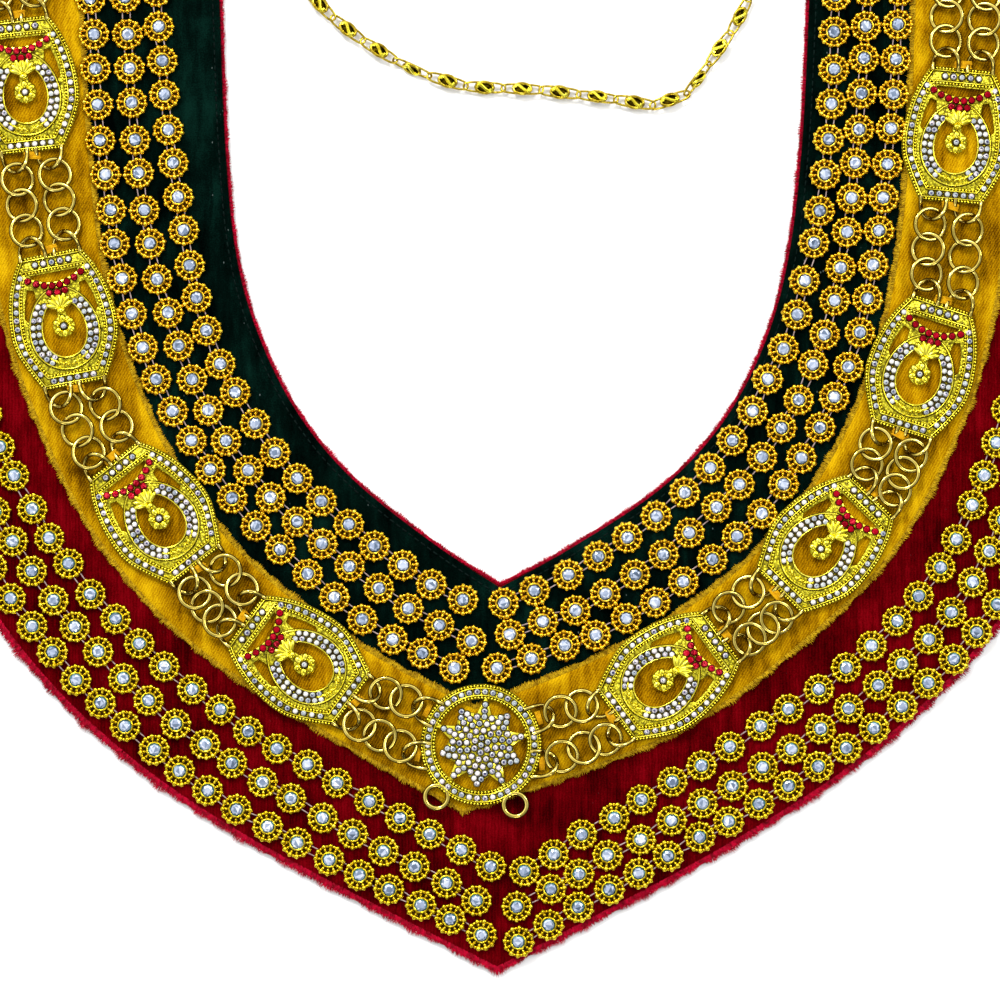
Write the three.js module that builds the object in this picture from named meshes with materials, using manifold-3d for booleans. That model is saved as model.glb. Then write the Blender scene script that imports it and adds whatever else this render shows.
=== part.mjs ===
import * as THREE from 'three';
import { mergeVertices } from 'three/addons/utils/BufferGeometryUtils.js';
import Module from 'manifold-3d';

// A flat V-fronted chain collar. Millimetres, +Z up, the collar lying on its back.
// The drawing's zero is the tip of the neck opening; the finished group is set on its own middle.
const gap = 0.3;
const baseThick = 2.4;
const bandThick = 1.0;
const neckReveal = 1.3;
const lineSteps = 14;

const stringWidth = 8.0;
const stringHeight = 3.2;
const stringSides = 8;
const stringStepLength = 31;
const stringEndReach = 4.2;

const plaqueHalfLength = 21;
const plaqueThick = 2.6;
const loopOffset = 5.4;
const loopHalfWidth = 4.0;
const loopLength = 5.8;
const loopWave = 1.8;
const loopRoot = 1.2;
const loopSteps = 4;
const medallionRoot = 2.4;
const wireRadius = 0.55;
const wireSides = 5;
const rosetteRadius = 3.4;
const rosetteCentre = -2.2;
const wreathCentre = -2.8;
const wreathHalfWidth = 6.7;
const wreathHalfLength = 9;
const wreathTaper = 0.1;

const medallionRadius = 19;
const medallionWindow = 14.3;
const medallionSides = 24;
const starTurn = 84;
const starPoints = 5;
const starTip = 13.1;
const starValley = 9.7;
const starValleySpread = 13;
const starTipSpread = 3;
const jewelRingRadius = 3.7;
const jewelRingWire = 0.6;

const ringRadius = 4.9;
const ringSides = 10;
const ringContact = 0.86;
const ringLift = 0.25;
const ringPitch = 7.8;
const ringReachLeast = 6.2;
const medallionReach = 1.0;
const ringReachMost = 8.1;
const strandSpread = 0.5;

const chainWidth = 3.6;
const chainSides = 8;
const chainSteps = 19;

const bandBottom = baseThick + gap;
const bandTop = bandBottom + bandThick;
const metalBottom = bandTop + gap;
const linkLevel = metalBottom + 2;

// One row per section across an arm, from the front to the shoulder end: the point on the neck
// edge, the fall of the section below level in degrees, and the widths from the neck edge to the
// edge of the green, of the gold and of the red.
const sections = {
  left: [
    { x: -19.7, y: 12.5, fall: 56.8, green: 39.7, gold: 71.3, red: 110.6 },
    { x: -45.6, y: 33.1, fall: 45.4, green: 41.3, gold: 73.1, red: 113.8 },
    { x: -62.5, y: 53.4, fall: 33.5, green: 41.6, gold: 75.0, red: 115.6 },
    { x: -74.4, y: 76.9, fall: 21.2, green: 41.6, gold: 75.3, red: 116.3 },
    { x: -81.6, y: 102.2, fall: 10.4, green: 42.2, gold: 76.6, red: 116.3 },
    { x: -85.0, y: 135.6, fall: 3.0, green: 43.1, gold: 76.9, red: 116.3 },
    { x: -86.9, y: 182.2, fall: 3.5, green: 44.2, gold: 76.9, red: 116.3 },
    { x: -90.0, y: 266.6, fall: 2.0, green: 44.4, gold: 77.5, red: 117.0 },
  ],
  right: [
    { x: 21.3, y: 11.3, fall: 62.7, green: 35.0, gold: 67.2, red: 106.9 },
    { x: 50.0, y: 30.3, fall: 49.5, green: 35.3, gold: 66.6, red: 106.9 },
    { x: 68.8, y: 50.3, fall: 35.6, green: 35.0, gold: 67.8, red: 108.1 },
    { x: 81.6, y: 74.1, fall: 21.7, green: 34.7, gold: 67.5, red: 108.8 },
    { x: 89.1, y: 100.3, fall: 11.5, green: 34.1, gold: 67.5, red: 108.8 },
    { x: 93.4, y: 134.4, fall: 4.0, green: 33.8, gold: 66.6, red: 108.8 },
    { x: 95.9, y: 182.2, fall: 4.6, green: 33.4, gold: 66.3, red: 108.8 },
    { x: 99.1, y: 266.6, fall: 2.0, green: 33.1, gold: 66.3, red: 108.8 },
  ],
};

// The seam down the front: where the two arms' edges meet.
const seam = {
  neck: { x: 0, y: 0 },
  green: { x: -7.8, y: -38.8 },
  gold: { x: -11.6, y: -74.7 },
  red: { x: -0.9, y: -121.6 },
};

// The strings of stone flowers, counted from the neck: the centre of the last flower at the front,
// then the distance from the neck edge at each section.
const strings = {
  left: [
    { x: -11.6, y: -5.3, at: [11.9, 12.5, 13.8, 15.6, 15.6, 17.5, 20.0, 20.0] },
    { x: -9.4, y: -18.4, at: [21.9, 22.5, 23.8, 25.0, 26.3, 28.4, 29.7, 29.7] },
    { x: -13.8, y: -26.4, at: [32.8, 32.3, 33.2, 35.6, 37.2, 39.1, 40.9, 40.9] },
    { x: -2.8, y: -88.4, at: [80.9, 83.8, 86.6, 88.8, 89.4, 89.4, 89.4, 89.4] },
    { x: -7.5, y: -99.1, at: [92.2, 95.0, 96.9, 98.8, 99.4, 99.4, 99.4, 99.4] },
    { x: -5.3, y: -110.0, at: [103.4, 105.6, 107.2, 108.8, 109.4, 109.4, 109.4, 109.4] },
  ],
  right: [
    { x: 0.9, y: -6.9, at: [7.5, 6.6, 6.6, 6.6, 7.5, 8.8, 9.7, 9.7] },
    { x: 3.2, y: -15.6, at: [18.8, 17.0, 16.9, 17.2, 17.5, 17.8, 18.8, 18.8] },
    { x: -1.0, y: -26.3, at: [28.1, 28.1, 27.5, 27.5, 27.5, 27.3, 28.1, 28.1] },
    { x: 7.6, y: -90.3, at: [79.7, 80.6, 82.5, 79.0, 78.1, 78.1, 78.1, 78.1] },
    { x: 5.3, y: -100.9, at: [90.6, 91.6, 93.4, 90.0, 89.4, 89.4, 89.4, 89.4] },
    { x: 5.7, y: -112.2, at: [99.1, 100.6, 103.4, 100.6, 100.0, 100.0, 100.0, 100.0] },
  ],
};
const stringsOnGreen = 3;

// Half the plaque's width at heights above its middle.
const plaqueOutline = [
  { height: 21, half: 9.8 },
  { height: 15, half: 13.2 },
  { height: 8, half: 15.6 },
  { height: 0, half: 16.8 },
  { height: -7, half: 16.4 },
  { height: -14, half: 13.6 },
  { height: -21, half: 9.9 },
];

// Openings of a plaque, across and up from its middle.
const barSlot = [[-7.6, 15], [-5.8, 13.4], [0, 12], [5.8, 13.4], [7.6, 15]];
const sideGap = [[10.4, 0.4], [9.05, 3.75], [6.95, 6.8], [7.2, 10.3], [9.2, 10.9], [11.1, 5]];

// Directions of the window's corners, in degrees from the right, round the wreath and back round the rosette.
const wreathAngles = [101, 143, 185, 228, 270, 312, 355, 397, 439];
const rosetteAngles = [66, 12, -40, -90, -140, -192, -246];

// The plaques, counted from the medallion: middle, and turn from upright in degrees.
const plaques = {
  left: [
    { x: -62.8, y: -24.1, turn: 53.5 },
    { x: -107.7, y: 21.9, turn: 38.1 },
    { x: -136.5, y: 82.4, turn: 10.9 },
    { x: -148.4, y: 155.4, turn: 6.3 },
    { x: -154.6, y: 228.9, turn: 4.0 },
  ],
  right: [
    { x: 52.6, y: -29.0, turn: -53.6 },
    { x: 101.6, y: 12.3, turn: -44.2 },
    { x: 131.6, y: 67.3, turn: -17.8 },
    { x: 142.5, y: 139.7, turn: -5.2 },
    { x: 147.5, y: 213.1, turn: -4.0 },
  ],
};
const medallion = { x: -5.9, y: -50.5 };

// The medallion's side loops, one for each strand that leaves it, and its two rings below.
const medallionLoops = {
  left: { neck: 146.7, outer: 189.6 },
  right: { neck: 25.4, outer: -18 },
};
const jewelRings = [
  { angle: -130.7, reach: 21.3 },
  { angle: -60.3, reach: 21.5 },
];

// Free rings in each strand, one row per space between plaques from the medallion outward.
const ringCounts = [
  { neck: 2, outer: 3 },
  { neck: 2, outer: 3 },
  { neck: 2, outer: 3 },
  { neck: 3, outer: 3 },
  { neck: 3, outer: 3 },
];

// The line of the thin chain across the neck opening, from the left arm to the right one.
const neckChainLine = [
  { x: -86.2, y: 251 },
  { x: -79, y: 226 },
  { x: -69.5, y: 203 },
  { x: -57.8, y: 182.2 },
  { x: -36.6, y: 165.6 },
  { x: -13.4, y: 155.9 },
  { x: 10.6, y: 154.4 },
  { x: 35.6, y: 151.3 },
  { x: 52.5, y: 149.2 },
  { x: 58.5, y: 153.4 },
  { x: 71.6, y: 171.3 },
  { x: 77.2, y: 181.3 },
  { x: 84, y: 203 },
  { x: 90, y: 226 },
  { x: 95.2, y: 251 },
];
const endRings = { left: { x: -89.2, y: 251 }, right: { x: 98.3, y: 251 } };

const rad = THREE.MathUtils.degToRad;
const sideSign = { left: -1, right: 1 };
const sideNames = ['left', 'right'];
const strandNames = ['neck', 'outer'];

const wasm = await Module();
wasm.setup();

const material = (color, roughness, metalness) =>
  new THREE.MeshStandardMaterial({ color, roughness, metalness });

const redVelvet = material(0x86000f, 0.95, 0);
const goldVelvet = material(0xc48a0c, 0.95, 0);
const greenVelvet = material(0x04211a, 0.95, 0);
const stoneString = material(0xd8b64a, 0.35, 0.6);
const castGold = material(0xe8c81e, 0.28, 1);
const ringGold = material(0xcbb45c, 0.3, 1);
const chainGold = material(0xd8bc58, 0.3, 1);

function solidOf(geometry) {
  const bare = new THREE.BufferGeometry();
  bare.setAttribute('position', geometry.getAttribute('position'));
  if (geometry.index) {
    bare.setIndex(geometry.index);
  }
  const merged = mergeVertices(bare, 1e-4);
  const mesh = new wasm.Mesh({
    numProp: 3,
    vertProperties: new Float32Array(merged.getAttribute('position').array),
    triVerts: new Uint32Array(merged.index.array),
  });
  return new wasm.Manifold(mesh);
}

function geometryOf(solid) {
  const mesh = solid.getMesh();
  const geometry = new THREE.BufferGeometry();
  geometry.setAttribute('position', new THREE.BufferAttribute(new Float32Array(mesh.vertProperties), 3));
  geometry.setIndex(new THREE.BufferAttribute(new Uint32Array(mesh.triVerts), 1));
  return geometry;
}

function joined(geometries) {
  let whole = solidOf(geometries[0]);
  for (const piece of geometries.slice(1)) {
    whole = whole.add(solidOf(piece));
  }
  return geometryOf(whole);
}

function polar(radius, degrees) {
  return new THREE.Vector2(radius * Math.cos(rad(degrees)), radius * Math.sin(rad(degrees)));
}

// A point of a section, at a distance from the neck edge.
function across(side, row, distance) {
  const run = distance * Math.cos(rad(row.fall));
  return new THREE.Vector2(row.x + sideSign[side] * run, row.y - distance * Math.sin(rad(row.fall)));
}

// A line along an arm, from the seam to the shoulder end.
function armLine(side, start, distanceOf) {
  const rows = sections[side].map((row, index) => across(side, row, distanceOf(row, index)));
  return new THREE.SplineCurve([new THREE.Vector2(start.x, start.y), ...rows]);
}

// A flat band over both arms, between an inner and an outer line.
function bandShape(innerStart, outerStart, innerOf, outerOf) {
  const points = (side, start, distanceOf) => armLine(side, start, distanceOf).getPoints(lineSteps);
  const outline = [
    ...points('left', outerStart, outerOf).reverse(),
    ...points('right', outerStart, outerOf).slice(1),
    ...points('right', innerStart, innerOf).reverse(),
    ...points('left', innerStart, innerOf).slice(1),
  ];
  return new THREE.Shape(outline);
}

function plate(shape, bottom, thick) {
  const geometry = new THREE.ExtrudeGeometry(shape, { depth: thick, bevelEnabled: false });
  geometry.translate(0, 0, bottom);
  return geometry;
}

function below(point, distance) {
  return { x: point.x, y: point.y - distance };
}

function roundSection(radius, sides, flatten = 1) {
  const points = [];
  for (let i = 0; i < sides; i += 1) {
    const point = polar(radius, (360 * (i + 0.5)) / sides);
    points.push(new THREE.Vector2(point.x * flatten, point.y));
  }
  return new THREE.Shape(points);
}

function sweep(path, section, steps) {
  return new THREE.ExtrudeGeometry(section, { steps, extrudePath: path, bevelEnabled: false });
}

function flowerString(side, row, number) {
  const level = (number <= stringsOnGreen ? bandTop : baseThick) + gap + stringHeight / 2;
  const line = armLine(side, row, (_, index) => row.at[index]);
  const count = Math.round(line.getLength() / stringStepLength);
  const points = line.getSpacedPoints(count).map((p) => new THREE.Vector3(p.x, p.y, level));
  const first = points[0];
  const lead = first.clone().sub(points[1]).setLength(stringEndReach);
  points[0] = first.clone().add(lead);
  const end = points[count];
  const trail = points[count - 1].clone().sub(end).setLength(stringEndReach);
  points[count] = end.clone().add(trail);
  const apothem = Math.cos(Math.PI / stringSides);
  const section = roundSection(stringWidth / 2 / apothem, stringSides, stringHeight / stringWidth);
  return sweep(new THREE.CatmullRomCurve3(points), section, count);
}

// A wire loop on a straight edge: it leaves the edge at zero and reaches out along +X, and its two
// flanks wave up and down so that a ring passes through it.
function wireLoop(wave, depth) {
  const points = [new THREE.Vector3(-depth, loopHalfWidth, 0)];
  for (let i = 0; i <= loopSteps; i += 1) {
    const angle = (Math.PI * i) / loopSteps;
    const out = loopLength * Math.sin(angle);
    points.push(new THREE.Vector3(out, loopHalfWidth * Math.cos(angle), wave * Math.sin(2 * angle)));
  }
  points.push(new THREE.Vector3(-depth, -loopHalfWidth, 0));
  const smooth = new THREE.CatmullRomCurve3(points);
  return sweep(smooth, roundSection(wireRadius, wireSides), loopSteps + 1);
}

// Where a loop stands: its root on the edge, the way it points, and the sign of its wave.
function plaqueLoop(plaque, end, strand, side) {
  const lateral = (strand === 'outer' ? 1 : -1) * sideSign[side] * loopOffset;
  const along = end === 'top' ? 1 : -1;
  const turn = rad(plaque.turn);
  const root = new THREE.Vector2(lateral, along * plaqueHalfLength).rotateAround(new THREE.Vector2(), turn);
  const heading = turn + (along * Math.PI) / 2;
  return { x: plaque.x + root.x, y: plaque.y + root.y, heading, depth: loopRoot };
}

// A medallion loop leans half way from the radius to the plaque that it is linked to.
function medallionLoop(side, strand) {
  const angle = medallionLoops[side][strand];
  const root = polar(medallionRadius * Math.cos(rad(180 / medallionSides)), angle);
  root.add(new THREE.Vector2(medallion.x, medallion.y));
  const far = plaqueLoop(plaques[side][0], 'bottom', strand, side);
  const away = new THREE.Vector2(far.x, far.y).sub(root).normalize();
  const heading = away.add(polar(1, angle)).angle();
  return { x: root.x, y: root.y, heading, depth: medallionRoot };
}

function setLoop(place, wave) {
  const geometry = wireLoop(wave, place.depth);
  geometry.rotateZ(place.heading);
  geometry.translate(place.x, place.y, linkLevel);
  return geometry;
}

// Two loops that face each other need waves that suit the roll of the ring that each one holds.
function farWave(count) {
  return count % 2 === 1 ? loopWave : -loopWave;
}

function strandLoops(side, space, strand) {
  const near = space === 0
    ? medallionLoop(side, strand)
    : plaqueLoop(plaques[side][space - 1], 'top', strand, side);
  const far = plaqueLoop(plaques[side][space], 'bottom', strand, side);
  return { near, far };
}

// Half the distance between the two places where a ring crosses its neighbour, on its straight sides.
function crossingHalf(along) {
  const step = 360 / ringSides;
  for (let angle = step / 2; angle < 180; angle += step) {
    const from = polar(ringRadius, angle);
    const to = polar(ringRadius, angle + step);
    if (along <= from.x && along >= to.x) {
      return from.y + ((to.y - from.y) * (along - from.x)) / (to.x - from.x);
    }
  }
  return 0;
}

function linkStrand(side, space, strand) {
  const { near, far } = strandLoops(side, space, strand);
  const count = ringCounts[space][strand];
  const extra = space === 0 ? medallionReach : 0;
  const start = new THREE.Vector2(near.x, near.y);
  const end = new THREE.Vector2(far.x, far.y);
  const whole = start.distanceTo(end);
  const slack = (whole - (count - 1) * ringPitch) / 2;
  const reach = THREE.MathUtils.clamp(slack, ringReachLeast, ringReachMost);
  const pitch = (whole - 2 * reach - extra) / (count - 1);
  const heading = Math.atan2(end.y - start.y, end.x - start.x);
  const spread = (strand === 'outer' ? -1 : 1) * sideSign[side] * strandSpread;
  const rings = [];
  for (let i = 0; i < count; i += 1) {
    const turn = i % 2 === 0 ? 1 : -1;
    const roll = turn * Math.asin((ringContact / 2 + ringLift) / crossingHalf(pitch / 2));
    const ring = new THREE.TorusGeometry(ringRadius, wireRadius, wireSides, ringSides);
    ring.rotateZ(Math.PI / ringSides);
    ring.rotateX(roll);
    ring.translate(extra + reach + i * pitch, spread, turn * ringLift);
    ring.rotateZ(heading);
    ring.translate(start.x, start.y, linkLevel);
    rings.push(ring);
  }
  return joined(rings);
}

function mirrored(points) {
  return points.map(([x, y]) => [-x, y]).reverse();
}

function hole(points) {
  return new THREE.Path(points.map(([x, y]) => new THREE.Vector2(x, y)));
}

// The window inside the wreath, round the rosette that hangs in it by a stem.
function wreathWindow() {
  const outer = wreathAngles.map((angle) => {
    const a = rad(angle);
    const across = wreathHalfWidth * Math.cos(a) * (1 - wreathTaper * Math.sin(a));
    return [across, wreathCentre + wreathHalfLength * Math.sin(a)];
  });
  const inner = rosetteAngles.map((angle) => {
    const point = polar(rosetteRadius, angle);
    return [point.x, rosetteCentre + point.y];
  });
  return [...outer, ...inner];
}

function plaqueGeometry(side, index) {
  const right = plaqueOutline.map((row) => new THREE.Vector2(row.half, row.height)).reverse();
  const left = plaqueOutline.map((row) => new THREE.Vector2(-row.half, row.height));
  const shape = new THREE.Shape([...right, ...left]);
  shape.holes.push(hole(barSlot), hole(sideGap), hole(mirrored(sideGap)), hole(wreathWindow()));
  const body = plate(shape, metalBottom, plaqueThick);
  const plaque = plaques[side][index];
  body.rotateZ(rad(plaque.turn));
  body.translate(plaque.x, plaque.y, 0);
  const pieces = [body];
  for (const strand of strandNames) {
    const wave = farWave(ringCounts[index][strand]);
    pieces.push(setLoop(plaqueLoop(plaque, 'bottom', strand, side), wave));
    if (index < plaques[side].length - 1) {
      pieces.push(setLoop(plaqueLoop(plaque, 'top', strand, side), -loopWave));
    }
  }
  return joined(pieces);
}

function medallionGeometry() {
  const rim = [];
  for (let i = 0; i < medallionSides; i += 1) {
    rim.push(polar(medallionRadius, (360 * i) / medallionSides));
  }
  const shape = new THREE.Shape(rim);
  const step = 360 / starPoints;
  for (let i = 0; i < starPoints; i += 1) {
    const from = starTurn + i * step;
    const arc = [];
    for (let k = 0; k <= 4; k += 1) {
      arc.push(polar(medallionWindow, from + starTipSpread + ((step - 2 * starTipSpread) * k) / 4));
    }
    const star = [
      polar(starValley, from + step - starValleySpread),
      polar(starTip, from + step / 2),
      polar(starValley, from + starValleySpread),
    ];
    shape.holes.push(new THREE.Path([...arc, ...star]));
  }
  const body = plate(shape, metalBottom, plaqueThick);
  body.translate(medallion.x, medallion.y, 0);
  const pieces = [body];
  for (const side of sideNames) {
    for (const strand of strandNames) {
      pieces.push(setLoop(medallionLoop(side, strand), -loopWave));
    }
  }
  for (const ring of jewelRings) {
    const middle = polar(ring.reach, ring.angle);
    const torus = new THREE.TorusGeometry(jewelRingRadius, jewelRingWire, wireSides, ringSides);
    torus.translate(medallion.x + middle.x, medallion.y + middle.y, metalBottom + plaqueThick / 2);
    pieces.push(torus);
  }
  return joined(pieces);
}

const group = new THREE.Group();
group.name = 'chain_collar';

function place(name, geometry, look) {
  const mesh = new THREE.Mesh(geometry, look.clone());
  mesh.name = name;
  group.add(mesh);
}

const baseShape = bandShape(seam.neck, seam.red, () => 0, (row) => row.red);
place('collar_base', plate(baseShape, 0, baseThick), redVelvet);

const greenShape = bandShape(
  below(seam.neck, neckReveal * 1.6),
  below(seam.green, -gap / 2),
  () => neckReveal,
  (row) => row.green - gap / 2,
);
place('green_band', plate(greenShape, bandBottom, bandThick), greenVelvet);

const goldShape = bandShape(
  below(seam.green, gap / 2),
  seam.gold,
  (row) => row.green + gap / 2,
  (row) => row.gold,
);
place('gold_band', plate(goldShape, bandBottom, bandThick), goldVelvet);

for (const side of sideNames) {
  strings[side].forEach((row, index) => {
    place(`flower_string_${side}_${index + 1}`, flowerString(side, row, index + 1), stoneString);
  });
}

for (const side of sideNames) {
  plaques[side].forEach((_, index) => {
    place(`plaque_${side}_${index + 1}`, plaqueGeometry(side, index), castGold);
  });
}
place('star_medallion', medallionGeometry(), castGold);

for (const side of sideNames) {
  ringCounts.forEach((_, space) => {
    for (const strand of strandNames) {
      place(`link_strand_${side}_${space + 1}_${strand}`, linkStrand(side, space, strand), ringGold);
    }
  });
}

const chainPath = new THREE.CatmullRomCurve3(
  neckChainLine.map((p) => new THREE.Vector3(p.x, p.y, chainWidth / 2)),
);
const chainSection = roundSection(chainWidth / 2 / Math.cos(Math.PI / chainSides), chainSides);
place('neck_chain', sweep(chainPath, chainSection, chainSteps), chainGold);

for (const side of sideNames) {
  const ring = new THREE.TorusGeometry(jewelRingRadius, wireRadius, wireSides, ringSides);
  ring.translate(endRings[side].x, endRings[side].y, metalBottom + wireRadius);
  place(`neck_chain_ring_${side}`, ring, ringGold);
}

const box = new THREE.Box3().setFromObject(group);
const middle = box.getCenter(new THREE.Vector3());
for (const mesh of group.children) {
  mesh.geometry.translate(-middle.x, -middle.y, -box.min.z);
}

export default group;
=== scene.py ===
import math

import bpy
import numpy as np
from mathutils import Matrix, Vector


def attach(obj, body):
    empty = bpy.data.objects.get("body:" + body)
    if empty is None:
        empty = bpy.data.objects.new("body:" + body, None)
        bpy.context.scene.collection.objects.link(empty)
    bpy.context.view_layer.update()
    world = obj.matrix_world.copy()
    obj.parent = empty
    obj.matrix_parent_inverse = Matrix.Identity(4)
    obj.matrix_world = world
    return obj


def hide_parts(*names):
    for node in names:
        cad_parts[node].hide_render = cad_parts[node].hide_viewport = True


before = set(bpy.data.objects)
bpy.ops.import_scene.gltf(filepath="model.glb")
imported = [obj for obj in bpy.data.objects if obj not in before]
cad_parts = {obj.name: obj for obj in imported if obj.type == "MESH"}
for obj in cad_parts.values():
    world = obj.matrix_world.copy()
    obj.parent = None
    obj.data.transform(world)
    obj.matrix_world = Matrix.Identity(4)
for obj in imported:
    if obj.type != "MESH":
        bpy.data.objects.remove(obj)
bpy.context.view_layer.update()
mm = 0.001
rng = np.random.default_rng(41)
anyTurn = 6.28  # radians, for random turns

# The collar's lines, in millimetres on the drawing whose zero is the point of the neck opening.
# One row per section of an arm: x, y on the neck edge, fall in degrees, widths to green, gold, red.
collar = {
    "left": [
        (-19.7, 12.5, 56.8, 39.7, 69.2, 110.6),
        (-45.6, 33.1, 45.4, 41.3, 73.1, 113.8),
        (-62.5, 53.4, 33.5, 41.6, 75.0, 115.6),
        (-74.4, 76.9, 21.2, 41.6, 75.3, 116.3),
        (-81.6, 102.2, 10.4, 42.2, 76.6, 116.3),
        (-85.0, 135.6, 3.0, 43.1, 76.9, 116.3),
        (-86.9, 182.2, 3.5, 44.2, 76.9, 116.3),
        (-90.0, 266.6, 2.0, 44.4, 77.5, 117.0),
    ],
    "right": [
        (21.3, 11.3, 62.7, 35.0, 67.2, 106.9),
        (50.0, 30.3, 49.5, 35.3, 66.6, 106.9),
        (68.8, 50.3, 35.6, 35.0, 67.8, 108.1),
        (81.6, 74.1, 21.7, 34.7, 67.5, 108.8),
        (89.1, 100.3, 11.5, 34.1, 67.5, 108.8),
        (93.4, 134.4, 4.0, 33.8, 66.6, 108.8),
        (95.9, 182.2, 4.6, 33.4, 66.3, 108.8),
        (99.1, 266.6, 2.0, 33.1, 66.3, 108.8),
    ],
    "seam": {"neck": (0, 0), "green": (-7.8, -38.8), "gold": (-11.6, -71.6), "red": (-0.9, -121.6)},
    "baseTop": 2.4, "bandLow": 2.45, "bandTop": 3.7, "metalLow": 4.0, "linkLevel": 6.0,
    "reveal": 0.85, "steps": 110,
}
sign = {"left": -1, "right": 1}
green, gold, red = 3, 4, 5  # columns of a section


def catmull(points, count):
    points = np.asarray(points, float)
    last = len(points) - 1
    out = []
    for t in np.linspace(0, last, count + 1):
        i = min(int(t), last - 1)
        w = t - i
        p0, p1, p2, p3 = (points[min(max(k, 0), last)] for k in (i - 1, i, i + 1, i + 2))
        v0, v1 = (p2 - p0) / 2, (p3 - p1) / 2
        cubic, square = 2 * p1 - 2 * p2 + v0 + v1, -3 * p1 + 3 * p2 - 2 * v0 - v1
        out.append(cubic * w**3 + square * w**2 + v0 * w + p1)
    return np.array(out)


# How far each point of a line lies along it, and the points at given distances
def reachOf(line):
    return np.concatenate([[0], np.cumsum(np.linalg.norm(np.diff(line, axis=0), axis=1))])


def pointAt(line, reach, distance):
    return np.stack([np.interp(distance, reach, values) for values in line.T], axis=-1)


def turned(x, y, angle):
    ca, sa = math.cos(angle), math.sin(angle)
    return x * ca - y * sa, x * sa + y * ca


def bearing(a, b):
    return math.atan2(b[1] - a[1], b[0] - a[0])


def across(side, row, distance):
    fall = math.radians(row[2])
    return (row[0] + sign[side] * distance * math.cos(fall), row[1] - distance * math.sin(fall))


def armLine(side, start, distances, count):
    rows = [across(side, row, d) for row, d in zip(collar[side], distances)]
    return catmull([start, *rows], count)


# A line over both arms, from the left shoulder by the front to the right shoulder
def collarLine(start, column, shift=0.0):
    parts = []
    for side in sign:
        distances = [(row[column] if column else 0) + shift for row in collar[side]]
        parts.append(armLine(side, start, distances, collar["steps"]))
    return np.vstack([parts[0][::-1], parts[1][1:]])


outerLine = collarLine(collar["seam"]["red"], red)
neckLine = collarLine(collar["seam"]["neck"], 0)
allPoints = np.vstack([outerLine, neckLine])
middle = (allPoints.min(0) + allPoints.max(0)) / 2


def placed(points):
    return (np.asarray(points, float) - middle) * mm


def clearSelection():
    if bpy.context.object and bpy.context.object.mode != "OBJECT":
        bpy.ops.object.mode_set(mode="OBJECT")
    bpy.ops.object.select_all(action="DESELECT")


def pick(obj):
    clearSelection()
    obj.select_set(True)
    bpy.context.view_layer.objects.active = obj
    return obj


def applied(obj):
    pick(obj)
    bpy.ops.object.transform_apply(location=True, rotation=True, scale=True)
    return obj


def joined(objects, name):
    clearSelection()
    for obj in objects:
        obj.select_set(True)
    bpy.context.view_layer.objects.active = objects[0]
    bpy.ops.object.join()
    whole = bpy.context.object
    whole.name = name
    return whole


def dress(obj, finish, smooth=35):
    obj.data.materials.clear()
    obj.data.materials.append(finish)
    pick(obj)
    if smooth:
        bpy.ops.object.shade_smooth_by_angle(angle=math.radians(smooth))
    else:
        bpy.ops.object.shade_flat()
    return obj


# A new primitive at its size and place
def made(add, **settings):
    clearSelection()
    add(**settings)
    return applied(bpy.context.object)


def linked(name, data):
    obj = bpy.data.objects.new(name, data)
    bpy.context.scene.collection.objects.link(obj)
    return obj


def editAll(obj):
    pick(obj)
    bpy.ops.object.mode_set(mode="EDIT")
    bpy.ops.mesh.select_all(action="SELECT")


def faceOutwards():
    bpy.ops.mesh.select_all(action="SELECT")
    bpy.ops.mesh.normals_make_consistent(inside=False)
    bpy.ops.object.mode_set(mode="OBJECT")


# Takes off what lies under a level and is never seen
def openBelow(obj, level):
    editAll(obj)
    bpy.ops.mesh.bisect(plane_co=(0, 0, level * mm), plane_no=(0, 0, 1), clear_inner=True)
    bpy.ops.object.mode_set(mode="OBJECT")
    return obj


def ready(obj, slot, *nodes):
    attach(obj, "root")
    if nodes:
        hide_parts(*nodes)
    return obj


def readAll(items, key, kind, width=1):
    values = np.empty(len(items) * width, kind)
    items.foreach_get(key, values)
    return values


def corners(mesh):
    return readAll(mesh.vertices, "co", float, 3).reshape(-1, 3)


# A modelled shape as arrays, so that it can be stamped many times into one mesh
class Shape:
    def __init__(self, obj, facets=0.55):
        mesh = obj.data
        self.facets = facets
        self.co = corners(mesh)
        self.loops = readAll(mesh.loops, "vertex_index", int)
        self.totals = readAll(mesh.polygons, "loop_total", int)
        self.slots = readAll(mesh.polygons, "material_index", int)
        self.smooth = readAll(mesh.polygons, "use_smooth", bool)
        self.spark = np.zeros(len(mesh.polygons))
        if "spark" in mesh.attributes:
            self.spark = readAll(mesh.attributes["spark"].data, "value", float)
        self.materials = list(mesh.materials)
        self.sortFaces()
        bpy.data.objects.remove(obj)

    # Extrude leaves its faces in no set order, so they are sorted by place and each run sparkles alike
    def sortFaces(self):
        starts = np.concatenate([[0], np.cumsum(self.totals)[:-1]])
        centres = np.add.reduceat(self.co[self.loops], starts) / self.totals[:, None]
        order = np.lexsort(np.round(centres, 7).T)
        self.loops = np.concatenate([self.loops[starts[k]:starts[k] + self.totals[k]] for k in order])
        for name in ("totals", "slots", "smooth", "spark"):
            setattr(self, name, getattr(self, name)[order])


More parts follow.
